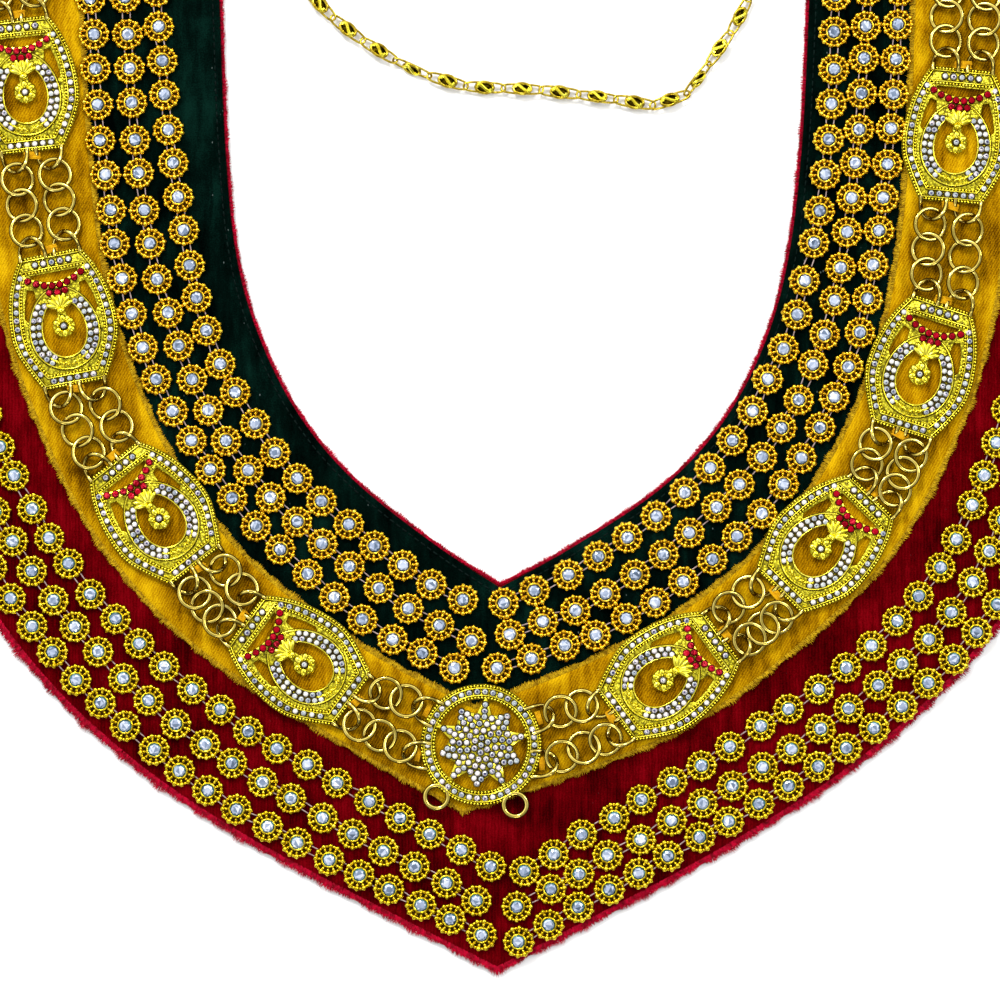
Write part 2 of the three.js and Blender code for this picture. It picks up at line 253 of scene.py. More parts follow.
# Stamps shapes at places: pairs of a shape and a list of 4 by 4 matrices.
# Each stamp has its own painted sparkle for stones, and its facets vary about it.
def stamped(name, sets):
    co, loops, totals, slots, smooth, sparks, materials = [], [], [], [], [], [], []
    offset = 0
    for shape, places in sets:
        base = []
        for material in shape.materials:
            if material not in materials:
                materials.append(material)
            base.append(materials.index(material))
        base = np.array(base or [0])
        for place in places:
            place = np.asarray(place, float)
            co.append(shape.co @ place[:3, :3].T + place[:3, 3])
            loops.append(shape.loops + offset)
            totals.append(shape.totals)
            slots.append(base[shape.slots])
            smooth.append(shape.smooth)
            if shape.spark.any():
                sparks.append((shape.spark + rng.random()) % 1)
            else:
                own, each = rng.random(), rng.random(len(shape.totals))
                sparks.append((1 - shape.facets) * own + shape.facets * each)
            offset += len(shape.co)
    co, loops, totals = np.vstack(co), np.concatenate(loops), np.concatenate(totals)
    mesh = bpy.data.meshes.new(name)
    mesh.vertices.add(len(co))
    mesh.vertices.foreach_set("co", co.ravel())
    mesh.loops.add(len(loops))
    mesh.loops.foreach_set("vertex_index", loops)
    mesh.polygons.add(len(totals))
    mesh.polygons.foreach_set("loop_start", np.concatenate([[0], np.cumsum(totals)[:-1]]))
    mesh.polygons.foreach_set("material_index", np.concatenate(slots))
    mesh.polygons.foreach_set("use_smooth", np.concatenate(smooth))
    for material in materials:
        mesh.materials.append(material)
    mesh.update(calc_edges=True)
    spark = mesh.attributes.new("spark", "FLOAT", "FACE")
    spark.data.foreach_set("value", np.concatenate(sparks))
    return linked(name, mesh)


# A place as a matrix, in metres; spot takes a piece's own millimetres, onCollar those of the drawing
def at(x, y, z, turn=0.0, size=1.0, tilt=(0.0, 0.0)):
    ca, sa = math.cos(turn), math.sin(turn)
    spin = np.array([[ca, -sa, 0], [sa, ca, 0], [0, 0, 1]])
    lean = np.array([[1, 0, tilt[0]], [0, 1, tilt[1]], [-tilt[0], -tilt[1], 1]])
    place = np.eye(4)
    place[:3, :3] = lean @ spin * size
    place[:3, 3] = (x, y, z)
    return place


def spot(x, y, z, *more):
    return at(x * mm, y * mm, z * mm, *more)


def onCollar(point, level, *more):
    return at(*placed(point), level * mm, *more)


# A place rolled about its own x
def rolled(place, roll):
    cr, sr = math.cos(roll), math.sin(roll)
    place[:3, :3] = place[:3, :3] @ np.array([[1, 0, 0], [0, cr, -sr], [0, sr, cr]])
    return place


# Shader maths: a wrapped socket that takes operators
class Val:
    def __init__(self, tree, socket):
        self.tree, self.socket = tree, socket

    def math(self, operation, other=None, swap=False):
        node = self.tree.nodes.new("ShaderNodeMath")
        node.operation = operation
        values = [self, other] if not swap else [other, self]
        for k, value in enumerate(values):
            if isinstance(value, Val):
                self.tree.links.new(value.socket, node.inputs[k])
            elif value is not None:
                node.inputs[k].default_value = value
        return Val(self.tree, node.outputs[0])

    def __add__(self, other):
        return self.math("ADD", other)

    __radd__ = __add__

    def __sub__(self, other):
        return self.math("SUBTRACT", other)

    def __rsub__(self, other):
        return self.math("SUBTRACT", other, True)

    def __mul__(self, other):
        return self.math("MULTIPLY", other)

    __rmul__ = __mul__

    def above(self, other):
        return self.math("GREATER_THAN", other)

    def clamp(self):
        node = self.tree.nodes.new("ShaderNodeClamp")
        self.tree.links.new(self.socket, node.inputs[0])
        return Val(self.tree, node.outputs[0])


# Nodes that end in one main shader
class Nodes:
    def __init__(self, tree, shader):
        self.tree = tree
        self.shader = tree.nodes[shader]

    def node(self, kind, settings=None, sockets=None, out=0):
        node = self.tree.nodes.new("ShaderNode" + kind)
        for key, value in (settings or {}).items():
            if key == "stops":
                ramp = node.color_ramp
                while len(ramp.elements) < len(value):
                    ramp.elements.new(0.5)
                for element, (place, colour) in zip(ramp.elements, value):
                    element.position = place
                    element.color = (*colour, 1)
            else:
                setattr(node, key, value)
        for key, value in (sockets or {}).items():
            if isinstance(value, Val):
                self.tree.links.new(value.socket, node.inputs[key])
            else:
                node.inputs[key].default_value = value
        return Val(self.tree, node.outputs[out])

    def ramp(self, value, stops):
        return self.node("ValToRGB", {"stops": stops}, {"Fac": value})

    def feed(self, socket, value):
        self.tree.links.new(value.socket, self.shader.inputs[socket])


# A finish: one material, with the patterns that it is made of
class Finish(Nodes):
    def __init__(self, name, **constants):
        self.material = bpy.data.materials.new(name)
        self.material.use_nodes = True
        super().__init__(self.material.node_tree, "Principled BSDF")
        for key, value in constants.items():
            self.shader.inputs[key.replace("_", " ")].default_value = value

    def place(self, scale=(1, 1, 1), turn=0.0):
        where = self.node("TexCoord", out="Object")
        return self.node("Mapping", {}, {"Vector": where, "Scale": scale, "Rotation": (0, 0, turn)})

    def noise(self, where, scale, detail=2.0, rough=0.5, distortion=0.0):
        return self.node("TexNoise", {}, {"Vector": where, "Scale": scale, "Detail": detail,
                                          "Roughness": rough, "Distortion": distortion})

    def dots(self, where, scale):
        return self.node("TexVoronoi", {"feature": "F1"}, {"Vector": where, "Scale": scale}, "Distance")

    # inputs 0, 6 and 7 and output 2 of a colour Mix are its factor, its two colours and its result
    def mix(self, factor, value, colour):
        return self.node("Mix", {"data_type": "RGBA"}, {0: factor, 6: value, 7: (*colour, 1)}, 2)

    def bump(self, height, strength, distance):
        self.feed("Normal", self.node("Bump", {}, {"Height": height, "Strength": strength,
                                                   "Distance": distance}))


# Finishes
velvets = {
    "red": {
        "stops": ((0.022, 0.0, 0.0004), (0.078, 0.0, 0.0012), (0.165, 0.0008, 0.0036)),
        "nap": (420, 70, 60), "turn": 0.1, "ribs": 0.09, "ribPitch": 1.0, "ribTurn": 0.0,
        "edge": 0.14, "sheen": 0.05, "tint": (0.9, 0.05, 0.1), "specks": 0.05,
    },
    "gold": {
        "stops": ((0.075, 0.028, 0.0002), (0.32, 0.152, 0.0008), (0.60, 0.36, 0.003)),
        "nap": (330, 60, 60), "turn": 0.6, "ribs": 0.12, "ribPitch": 0.8, "ribTurn": 0.5,
        "edge": 0.12, "sheen": 0.03, "tint": (1.0, 0.75, 0.2), "specks": 0.0,
    },
    "green": {
        "stops": ((0.0001, 0.0005, 0.0004), (0.0005, 0.0036, 0.0026), (0.0018, 0.014, 0.0095)),
        "nap": (300, 60, 60), "turn": 0.3, "ribs": 0.0, "ribPitch": 1.0, "ribTurn": 0.0,
        "edge": 0.0, "sheen": 0.05, "tint": (0.2, 0.6, 0.45), "specks": 1.0,
    },
}
# What the three share: weights and scales of the pile's patterns, and the pale lint
pileSettings = {
    "streaks": 0.6, "clouds": 0.8, "pile": 0.46, "shift": 0.43, "cloudScale": 45.0, "pileScale": 2400.0,
    "ribScale": 314.0, "lintScale": 560.0, "lintSharp": 8.0, "lintShape": (1, 0.55, 1), "lintTurn": 0.7,
    "patchScale": 210.0, "patchFrom": 0.6, "lint": (0.16, 0.2, 0.19), "bump": 0.35, "bumpHigh": 0.0006,
}


def velvet(name):
    own, shared = velvets[name], pileSettings
    finish = Finish(name + "Velvet", Roughness=0.95, Sheen_Weight=own["sheen"], Sheen_Roughness=0.42,
                    Sheen_Tint=(*own["tint"], 1), Specular_IOR_Level=0.0)
    streaks = finish.noise(finish.place(own["nap"], own["turn"]), 1.0, 3.0, 0.6, 0.3)
    clouds = finish.noise(finish.place(), shared["cloudScale"], 4.0, 0.6)
    pile = finish.noise(finish.place(), shared["pileScale"], 2.0, 0.6)
    tone = streaks * shared["streaks"] + clouds * shared["clouds"] + pile * shared["pile"] - shared["shift"]
    if own["ribs"]:
        lines = finish.node("TexWave", {"wave_type": "BANDS", "bands_direction": "X"}, {
            "Vector": finish.place(turn=own["ribTurn"]), "Scale": shared["ribScale"] / own["ribPitch"],
            "Distortion": 3.0, "Detail": 2.0, "Detail Scale": 2.0}, "Fac")
        tone = tone + (lines - 0.5) * own["ribs"]
    # Lighter along the edges: a painted highlight, and the pile brushed lighter there
    tone = tone + finish.node("Attribute", {"attribute_name": "edge"}, out="Fac") * own["edge"]
    deep, mid, light = own["stops"]
    colour = finish.ramp(tone, [(0.30, deep), (0.52, mid), (0.76, light)])
    if own["specks"]:
        dots = finish.dots(finish.place(shared["lintShape"], shared["lintTurn"]), shared["lintScale"])
        patches = finish.noise(finish.place(), shared["patchScale"]).above(shared["patchFrom"])
        lint = (1 - dots * shared["lintSharp"]).clamp() * patches
        colour = finish.mix((lint * own["specks"]).clamp(), colour, shared["lint"])
    finish.feed("Base Color", colour)
    finish.bump(pile + streaks * shared["streaks"], shared["bump"], shared["bumpHigh"])
    return finish.material


redVelvet, goldVelvet, greenVelvet = velvet("red"), velvet("gold"), velvet("green")


def threadFinish(name, dark, light, roughness=0.7, sheen=0.1):
    finish = Finish(name, Roughness=roughness, Sheen_Weight=sheen, Specular_IOR_Level=0.1)
    tone = finish.noise(finish.place(), 900.0, 2.0)
    finish.feed("Base Color", finish.ramp(tone, [(0.3, dark), (0.7, light)]))
    return finish.material


redFuzz = threadFinish("redFuzz", (0.15, 0.0, 0.005), (0.52, 0.0, 0.026), 0.8, 0.0)
goldFuzz = threadFinish("goldFuzz", (0.20, 0.10, 0.001), (0.60, 0.37, 0.006), 0.8, 0.0)
whiteThread = threadFinish("whiteThread", (0.22, 0.15, 0.14), (0.44, 0.34, 0.32))
orangeThread = threadFinish("orangeThread", (0.44, 0.20, 0.001), (0.68, 0.37, 0.003), 0.8, 0.0)
greenThread = threadFinish("greenThread", (0.0003, 0.002, 0.0016), (0.0012, 0.009, 0.0068), 0.9, 0.0)


# A gilt metal from its shade to its brightest tone; a stippled one has a dotted ground
def metal(name, shade, colour, bright, roughness, grain=0.06, scale=420.0, pits=0.15, metallic=1.0,
          stipple=0.0):
    finish = Finish(name, Metallic=metallic)
    tone = finish.noise(finish.place(), scale, 3.0, 0.6)
    relief = finish.noise(finish.place(), scale * 2.4, 2.0)
    if stipple:
        dots = finish.dots(finish.place(), stipple)
        tone = tone * 0.4 + (1 - dots) * 0.55
        relief = relief * 0.3 + (1 - dots)
    finish.feed("Base Color", finish.ramp(tone, [(0.25, shade), (0.5, colour), (0.75, bright)]))
    finish.feed("Roughness", tone * grain * 2 + (roughness - grain))
    finish.bump(relief, pits, 0.0002)
    return finish.material


castGold = metal("castGold", (0.55, 0.43, 0.016), (0.81, 0.70, 0.04), (0.97, 0.90, 0.13), 0.2)
deepGold = metal("deepGold", (0.10, 0.078, 0.002), (0.52, 0.45, 0.012), (0.95, 0.87, 0.06), 0.32,
                 scale=900.0, pits=0.8, metallic=0.8, stipple=1300.0)
flowerGold = metal("flowerGold", (0.30, 0.14, 0.004), (0.70, 0.44, 0.018), (1.0, 0.76, 0.08), 0.2,
                   scale=800.0)
lemonGold = metal("lemonGold", (0.24, 0.15, 0.003), (0.64, 0.47, 0.012), (1.0, 0.83, 0.08), 0.2,
                  scale=800.0)
paleGold = metal("paleGold", (0.52, 0.38, 0.06), (0.64, 0.50, 0.10), (0.80, 0.66, 0.19), 0.13,
                 grain=0.02, pits=0.0)
# A darker copy of the pale gold for the steep sides of wires: painted shade
paintedSideShade = metal("paintedSideShade", (0.10, 0.066, 0.006), (0.17, 0.115, 0.012), (0.27, 0.19, 0.025), 0.2,
                  grain=0.02, pits=0.0)
chainGold = metal("chainGold", (0.20, 0.12, 0.008), (0.50, 0.36, 0.022), (0.95, 0.82, 0.12), 0.2,
                  scale=700.0)
# Near-black gold: painted shade in the grooves beside the ridges, the channels under the grains, the stone
# settings and the chain link's heart
paintedGapShade = metal("paintedGapShade", (0.02, 0.013, 0.001), (0.06, 0.04, 0.002), (0.17, 0.12, 0.008), 0.4)
# Near-black gold for the disc behind each flower: painted shade in the holes of its openwork
paintedHoleShade = metal("paintedHoleShade", (0.014, 0.007, 0.001), (0.04, 0.021, 0.002), (0.10, 0.055, 0.004), 0.45)


# Foil-backed stones: each facet has its own brightness, painted sparkle from dark to bright
def stoneFinish(name, stops, coat, gloss=0.5):
    finish = Finish(name, Metallic=0.3, Roughness=0.08, Coat_Weight=coat, Coat_Roughness=0.03,
                    Specular_IOR_Level=gloss)
    spark = finish.node("Attribute", {"attribute_name": "spark"}, out="Fac")
    finish.feed("Base Color", finish.ramp(spark, stops))
    return finish.material


clearStone = stoneFinish("clearStone", [
    (0.0, (0.24, 0.29, 0.33)), (0.2, (0.46, 0.50, 0.51)), (0.45, (0.68, 0.67, 0.58)),
    (0.75, (0.86, 0.82, 0.71)), (1.0, (0.70, 0.58, 0.64))], 0.4)
clearTable = stoneFinish("clearTable", [
    (0.0, (0.015, 0.015, 0.08)), (0.18, (0.08, 0.08, 0.2)), (0.34, (0.48, 0.56, 0.60)),
    (0.7, (0.92, 0.91, 0.86)), (1.0, (0.80, 0.68, 0.76))], 0.5)
# The edge finishes, here and below, are darker for a stone's outer facets: painted shade round its rim
clearEdge = stoneFinish("clearEdge", [
    (0.0, (0.02, 0.018, 0.012)), (0.7, (0.08, 0.075, 0.06)), (1.0, (0.3, 0.3, 0.28))], 0.3)
flowerStone = stoneFinish("flowerStone", [
    (0.0, (0.05, 0.08, 0.13)), (0.22, (0.17, 0.23, 0.34)), (0.5, (0.36, 0.43, 0.58)),
    (0.76, (0.60, 0.66, 0.79)), (1.0, (0.96, 0.97, 1.0))], 0.6)
stoneEdge = stoneFinish("stoneEdge", [
    (0.0, (0.006, 0.01, 0.01)), (0.45, (0.035, 0.05, 0.052)), (0.8, (0.16, 0.2, 0.23)),
    (1.0, (0.5, 0.52, 0.58))], 0.5)
tealEdge = stoneFinish("tealEdge", [
    (0.0, (0.004, 0.02, 0.022)), (0.45, (0.01, 0.10, 0.11)), (0.8, (0.06, 0.25, 0.27)),
    (1.0, (0.42, 0.55, 0.58))], 0.5)
redStone = stoneFinish("redStone", [
    (0.0, (0.11, 0.0, 0.003)), (0.4, (0.31, 0.0, 0.008)), (0.8, (0.52, 0.002, 0.019)),
    (1.0, (0.78, 0.05, 0.08))], 0.0, 0.12)
redEdge = stoneFinish("redEdge", [
    (0.0, (0.015, 0.0, 0.001)), (0.6, (0.06, 0.0, 0.003)), (1.0, (0.2, 0.0, 0.01))], 0.0, 0.12)
print("finishes made")


# Cloth: a grid laid between two lines, raised to a thin pad with rolled edges
cloth = {
    "baseColumns": 44, "bandColumns": 22, "baseRoll": 1.6, "bandRoll": 1.3, "wave": 0.10, "greenCalm": 0.7,
    "lip": 0.25, "edgeReach": 5.0, "neckPoint": (0, -1.4), "greenTuck": 0.1, "goldTuck": 0.5, "goldRise": 0.1,
}


# How far each point lies from the nearer of two edges, taken in batches to spare memory
def edgeGaps(points, edges, batch=60):
    gaps = np.full(len(points), 1.0)
    for edge in edges:
        for start in range(0, len(edge), batch):
            part = edge[start:start + batch]
            gaps = np.minimum(gaps, np.linalg.norm(points[:, None] - part[None], axis=2).min(1))
    return gaps


def clothBand(name, inner, outer, low, top, columns, roll, wave, finish):
    inner, outer = placed(inner), placed(outer)
    rows, thick = len(inner) - 1, top - low
    clearSelection()
    bpy.ops.mesh.primitive_grid_add(x_subdivisions=rows, y_subdivisions=columns, size=1)
    obj = bpy.context.object
    obj.name = name
    mesh = obj.data
    co = corners(mesh)
    along = np.rint((co[:, 0] + 0.5) * rows).astype(int)
    share = (co[:, 1] + 0.5)[:, None]
    co[:, :2] = inner[along] * (1 - share) + outer[along] * share
    co[:, 2] = low * mm
    mesh.vertices.foreach_set("co", co.ravel())
    editAll(obj)
    bpy.ops.mesh.extrude_region_move(TRANSFORM_OT_translate={"value": (0, 0, thick * mm)})
    bpy.ops.object.mode_set(mode="OBJECT")
    co = corners(mesh)
    raised = co[:, 2] > (low + top) / 2 * mm
    gaps = edgeGaps(co[:, :2], (inner, outer))
    near = np.clip(gaps / (roll * mm), 0, 1)
    x, y = co[:, 0] / mm, co[:, 1] / mm
    # slow waves of no set pattern
    swell = np.sin(x * 0.071 + 1.3 * np.sin(y * 0.043)) * np.sin(y * 0.083 + 0.6 * np.sin(x * 0.05))
    swell += 0.5 * np.sin(x * 0.21 + y * 0.13) * np.sin(y * 0.19 - x * 0.08)
    height = (low + cloth["lip"] * thick) + (1 - cloth["lip"]) * thick * np.sqrt(1 - (1 - near) ** 2)
    co[raised, 2] = (height + wave * swell * near)[raised] * mm
    mesh.vertices.foreach_set("co", co.ravel())
    # How near each point lies to an edge, for the painted highlight along the edges
    edge = mesh.attributes.new("edge", "FLOAT", "POINT")
    edge.data.foreach_set("value", np.clip(1 - gaps / (cloth["edgeReach"] * mm), 0, 1))
    editAll(obj)
    faceOutwards()
    dress(obj, finish, 60)
    width = np.linalg.norm(outer - inner, axis=1)
    steps = np.linalg.norm(np.diff((inner + outer) / 2, axis=0), axis=1)
    area = (steps * (width[:-1] + width[1:]) / 2).sum()
    return obj, float(width.mean()), float(steps.sum()), float(area)


# The seam between the green and the gold, moved towards the neck
def seamLine(tuck):
    x, y = collar["seam"]["green"]
    return collarLine((x, y + tuck), green, -tuck)


greenIn = collarLine(cloth["neckPoint"], 0, collar["reveal"])
greenOut = seamLine(cloth["greenTuck"])
goldIn = seamLine(cloth["goldTuck"])
goldOut = collarLine(collar["seam"]["gold"], gold)

baseCloth, _, _, baseArea = clothBand(
    "red_velvet_collar", neckLine, outerLine, 0.0, collar["baseTop"], cloth["baseColumns"],
    cloth["baseRoll"], cloth["wave"], redVelvet)
greenCloth, greenWidth, greenSpan, greenArea = clothBand(
    "green_velvet_band", greenIn, greenOut, collar["bandLow"], collar["bandTop"], cloth["bandColumns"],
    cloth["bandRoll"], cloth["wave"] * cloth["greenCalm"], greenVelvet)
goldCloth, goldWidth, goldSpan, goldArea = clothBand(
    "gold_velvet_band", goldIn, goldOut, collar["bandLow"], collar["bandTop"] + cloth["goldRise"],
    cloth["bandColumns"], cloth["bandRoll"], cloth["wave"], goldVelvet)
ready(baseCloth, "red_velvet", "collar_base")
ready(greenCloth, "green_velvet", "green_band")
ready(goldCloth, "gold_velvet", "gold_band")
print("cloth laid")


# Cut velvet edges: short tapering strands of pile that stand out over the neighbour
fray = {
    "gold": {"pitch": 0.3, "layers": 3, "length": (0.2, 1.25), "width": 0.22, "root": 1.1, "slant": 0.2,
             "spread": 0.35, "droop": 0.4},
    "red": {"pitch": 0.32, "layers": 6, "length": (0.1, 1.7), "width": 0.2, "root": 2.0, "slant": 0.15,
            "spread": 0.4, "droop": 0.3},
    "neck": {"pitch": 0.32, "layers": 3, "length": (0.05, 0.85), "width": 0.22, "root": 0.8, "slant": 0.15,
             "spread": 0.4, "droop": 0.2},
    "clumps": 0.45, "ripple": 0.3, "widths": (0.7, 1.2), "levels": (-0.25, 0.2), "lifts": (-0.1, 0.35),
    "twist": 0.5, "waist": 0.45, "waistWidth": 0.85, "pitches": (0.6, 1.4),
    "goldOuterDrop": 0.35, "goldInnerDrop": 0.05, "redLevel": 1.5, "neckLevel": 1.7,
}


def edgeFuzz(name, line, other, level, kind, finish):
    settings = fray[kind]
    line, other = placed(line), placed(other)
    reach = reachOf(line)
    away = line - other
    away /= np.linalg.norm(away, axis=1)[:, None]
    phase = rng.uniform(0, anyTurn, 3)
    co, faces = [], []
    for layer in range(settings["layers"]):
        s = rng.uniform(0, settings["pitch"]) * mm
        while s < reach[-1]:
            root = pointAt(line, reach, s)
            slant = settings["slant"] + rng.normal(0, settings["spread"])
            out = np.array(turned(*pointAt(away, reach, s), slant))
            beside = np.array([-out[1], out[0]])
            tufts = 1 + fray["clumps"] * math.sin(s * 310 + phase[0]) * math.sin(s * 97 + phase[1])
            tufts += fray["ripple"] * math.sin(s * 830 + phase[2])
            long = rng.uniform(*settings["length"]) * tufts * mm
            half = rng.uniform(*fray["widths"]) * settings["width"] / 2 * mm
            z = (level + rng.uniform(*fray["levels"])) * mm
            lift = rng.uniform(*fray["lifts"]) * mm
            twist = rng.normal(0, fray["twist"]) * half
            start, waist = root - out * settings["root"] * mm, root + out * long * fray["waist"]
            base = len(co)
            for centre, w, height, turn in ((start, half, z, 0),
                                            (waist, half * fray["waistWidth"], z + lift, twist)):
                co.append((*(centre + beside * w), height + turn))
                co.append((*(centre - beside * w), height - turn))
            co.append((*(root + out * long), z + lift - settings["droop"] * mm))
            faces += [(base, base + 1, base + 3, base + 2), (base + 2, base + 3, base + 4)]
            s += settings["pitch"] * rng.uniform(*fray["pitches"]) * mm
    mesh = bpy.data.meshes.new(name)
    mesh.from_pydata(co, [], faces)
    mesh.update()
    return dress(linked(name, mesh), finish, 60)


goldFringeOuter = edgeFuzz("gold_fringe_outer", goldOut, goldIn, collar["bandTop"] - fray["goldOuterDrop"],
                           "gold", goldFuzz)
goldFringeInner = edgeFuzz("gold_fringe_inner", goldIn, goldOut, collar["bandTop"] - fray["goldInnerDrop"],
                           "gold", goldFuzz)
redFringeOuter = edgeFuzz("red_fringe_outer", outerLine, neckLine, fray["redLevel"], "red", redFuzz)
redFringeNeck = edgeFuzz("red_fringe_neck", neckLine, outerLine, fray["neckLevel"], "neck", redFuzz)
for fringe, name in ((goldFringeOuter, "gold_velvet"), (goldFringeInner, "gold_velvet"),
                     (redFringeOuter, "red_velvet"), (redFringeNeck, "red_velvet")):
    ready(fringe, name)
print("edges frayed")


# A cut stone from the girdle up: two tiers of crown facets and a table; finishes for crown, edge and table.
# Heights are shares of the stone's own, and of the setting's for its rolled top.
stoneCut = {"girdleLow": 0.3, "tiers": (0.42, 0.28), "openLow": 0.305, "tableShare": 0.95,
            "settingFoot": 0.25, "settingLip": 0.6, "settingDip": 0.35}


def stoneShape(radius, height, sides, finishes, setting, settingWidth, settingHigh, girdle=0.8, table=0.66):
    stone = made(bpy.ops.mesh.primitive_circle_add, vertices=sides, radius=radius * mm, fill_type="NGON",
                 location=(0, 0, stoneCut["girdleLow"] * height * mm))
    editAll(stone)
    for up, shrink in zip(stoneCut["tiers"], (girdle, table)):
        bpy.ops.mesh.extrude_region_move(TRANSFORM_OT_translate={"value": (0, 0, up * height * mm)})
        bpy.ops.transform.resize(value=(shrink, shrink, 1), center_override=(0, 0, 0))
        bpy.ops.transform.rotate(value=math.pi / sides, orient_axis="Z", center_override=(0, 0, 0))
    bpy.ops.mesh.select_all(action="SELECT")
    bpy.ops.mesh.quads_convert_to_tris(quad_method="SHORTEST_DIAGONAL", ngon_method="BEAUTY")
    faceOutwards()
    dress(openBelow(stone, stoneCut["openLow"] * height), finishes[0], 0)
    for finish in finishes[1:]:
        stone.data.materials.append(finish)
    tableReach = girdle * table * stoneCut["tableShare"]
    # The outer facets take the darker edge finish, painted shade round the rim; the table and crown take the
    # others
    for face in stone.data.polygons:
        out = math.hypot(face.center.x, face.center.y) / (radius * mm)
        face.material_index = 1 if out > girdle else 2 if out < tableReach else 0
    # the rubbed-over setting: a ring wall with a rolled top
    foot = stoneCut["settingFoot"]
    ring = made(bpy.ops.mesh.primitive_circle_add, vertices=sides + 2, radius=(radius + settingWidth) * mm,
                fill_type="NOTHING", location=(0, 0, -foot * mm))
    editAll(ring)
    reach = 1.0
    for up, share in ((settingHigh + foot, stoneCut["settingLip"]),
                      (-settingHigh * stoneCut["settingDip"], 0.0)):
        bpy.ops.mesh.extrude_edges_move(TRANSFORM_OT_translate={"value": (0, 0, up * mm)})
        factor = (radius + settingWidth * share) / (radius + settingWidth * reach)
        bpy.ops.transform.resize(value=(factor, factor, 1), center_override=(0, 0, 0))
        reach = share
    faceOutwards()
    dress(ring, setting, 50)
    return joined([stone, ring], "stone")


def beadShape(radius, finish, squash=1.0):
    bead = made(bpy.ops.mesh.primitive_ico_sphere_add, subdivisions=1, radius=radius * mm)
    editAll(bead)
    bpy.ops.transform.resize(value=(1, 1, squash), center_override=(0, 0, 0))
    bpy.ops.object.mode_set(mode="OBJECT")
    dress(bead, finish, 0)
    bpy.ops.object.shade_smooth()
    return Shape(bead)


# A curve object made a mesh
def meshed(name, curve):
    pick(linked(name, curve))
    bpy.ops.object.convert(target="MESH")
    return bpy.context.object


# A flat curve with holes, thick and with softened edges, made a mesh
def plateFrom(name, loops, low, high, bevel, finish):
    curve = bpy.data.curves.new(name, "CURVE")
    curve.dimensions = "2D"
    curve.fill_mode = "BOTH"
    for loop in loops:
        spline = curve.splines.new("POLY")
        spline.points.add(len(loop) - 1)
        for point, (x, y) in zip(spline.points, loop):
            point.co = (x * mm, y * mm, 0, 1)
        spline.use_cyclic_u = True
    curve.extrude = ((high - low) / 2 - bevel) * mm
    curve.bevel_depth = bevel * mm
    curve.bevel_resolution = 0
    curve.offset = -bevel * mm
    plate = meshed(name, curve)
    editAll(plate)
    bpy.ops.mesh.remove_doubles(threshold=2e-6)
    faceOutwards()
    plate.location.z = (low + high) / 2 * mm
    return dress(applied(plate), finish, 30)


# A round wire along points
def wireFrom(name, points, radius, finish, cyclic=False, sides=2):
    curve = bpy.data.curves.new(name, "CURVE")
    curve.dimensions = "3D"
    spline = curve.splines.new("POLY")
    spline.points.add(len(points) - 1)
    for point, co in zip(spline.points, points):
        point.co = (co[0] * mm, co[1] * mm, co[2] * mm, 1)
    spline.use_cyclic_u = cyclic
    curve.bevel_depth = radius * mm
    curve.bevel_resolution = sides
    curve.use_fill_caps = not cyclic
    return dress(meshed(name, curve), finish, 50)


# A polished wire: bright along its top; its steep sides take a darker copy of the gold, painted shade
def polished(obj, steep=0.72):
    dress(obj, paleGold, 60)
    obj.data.materials.append(paintedSideShade)
    for face in obj.data.polygons:
        face.material_index = int(face.normal.z < steep)
    return Shape(obj)


def wireRing(radius, wire, segments=36):
    return polished(made(bpy.ops.mesh.primitive_torus_add, major_radius=radius * mm, minor_radius=wire * mm,
                         major_segments=segments, minor_segments=14))


# A short straight thread, pin or stitch along x
def rodShape(radius, long, finish, sides=5, smooth=60, ends="NOTHING"):
    rod = made(bpy.ops.mesh.primitive_cylinder_add, vertices=sides, radius=radius * mm, depth=long * mm,
               end_fill_type=ends, rotation=(0, math.pi / 2, 0))
    return Shape(dress(rod, finish, smooth))


# Points along a line at an even pitch
def sampled(line, pitch, closed=True):
    line = np.asarray(line, float)
    if closed:
        line = np.vstack([line, line[:1]])
    reach = reachOf(line)
    count = max(int(round(reach[-1] / pitch)), 1)
    distances = np.linspace(0, reach[-1], count if closed else count + 1, endpoint=not closed)
    return pointAt(line, reach, distances)


# Clear stones of the castings, set in their own rings; the rings are near black, painted shade round each
# stone
def clearGem(radius, settingWidth, girdle):
    finishes = (clearStone, clearEdge, clearTable)
    return Shape(stoneShape(radius, 0.8, 8, finishes, paintedGapShade, settingWidth, 0.3, girdle, 0.56), 0.35)


# Stones at x, y and level, each turned at random and a little askew
def strewn(points, askew):
    return [spot(*point, rng.uniform(0, anyTurn), 1, rng.normal(0, askew, 2)) for point in points]


# Rows of fine grains along closed lines
milgrain = {"radius": 0.5, "squash": 0.9}


def grainRows(loops, pitch, level):
    return [spot(x, y, level) for loop in loops for x, y in sampled(loop, pitch)]


def polar(radius, degrees):
    return (radius * math.cos(math.radians(degrees)), radius * math.sin(math.radians(degrees)))


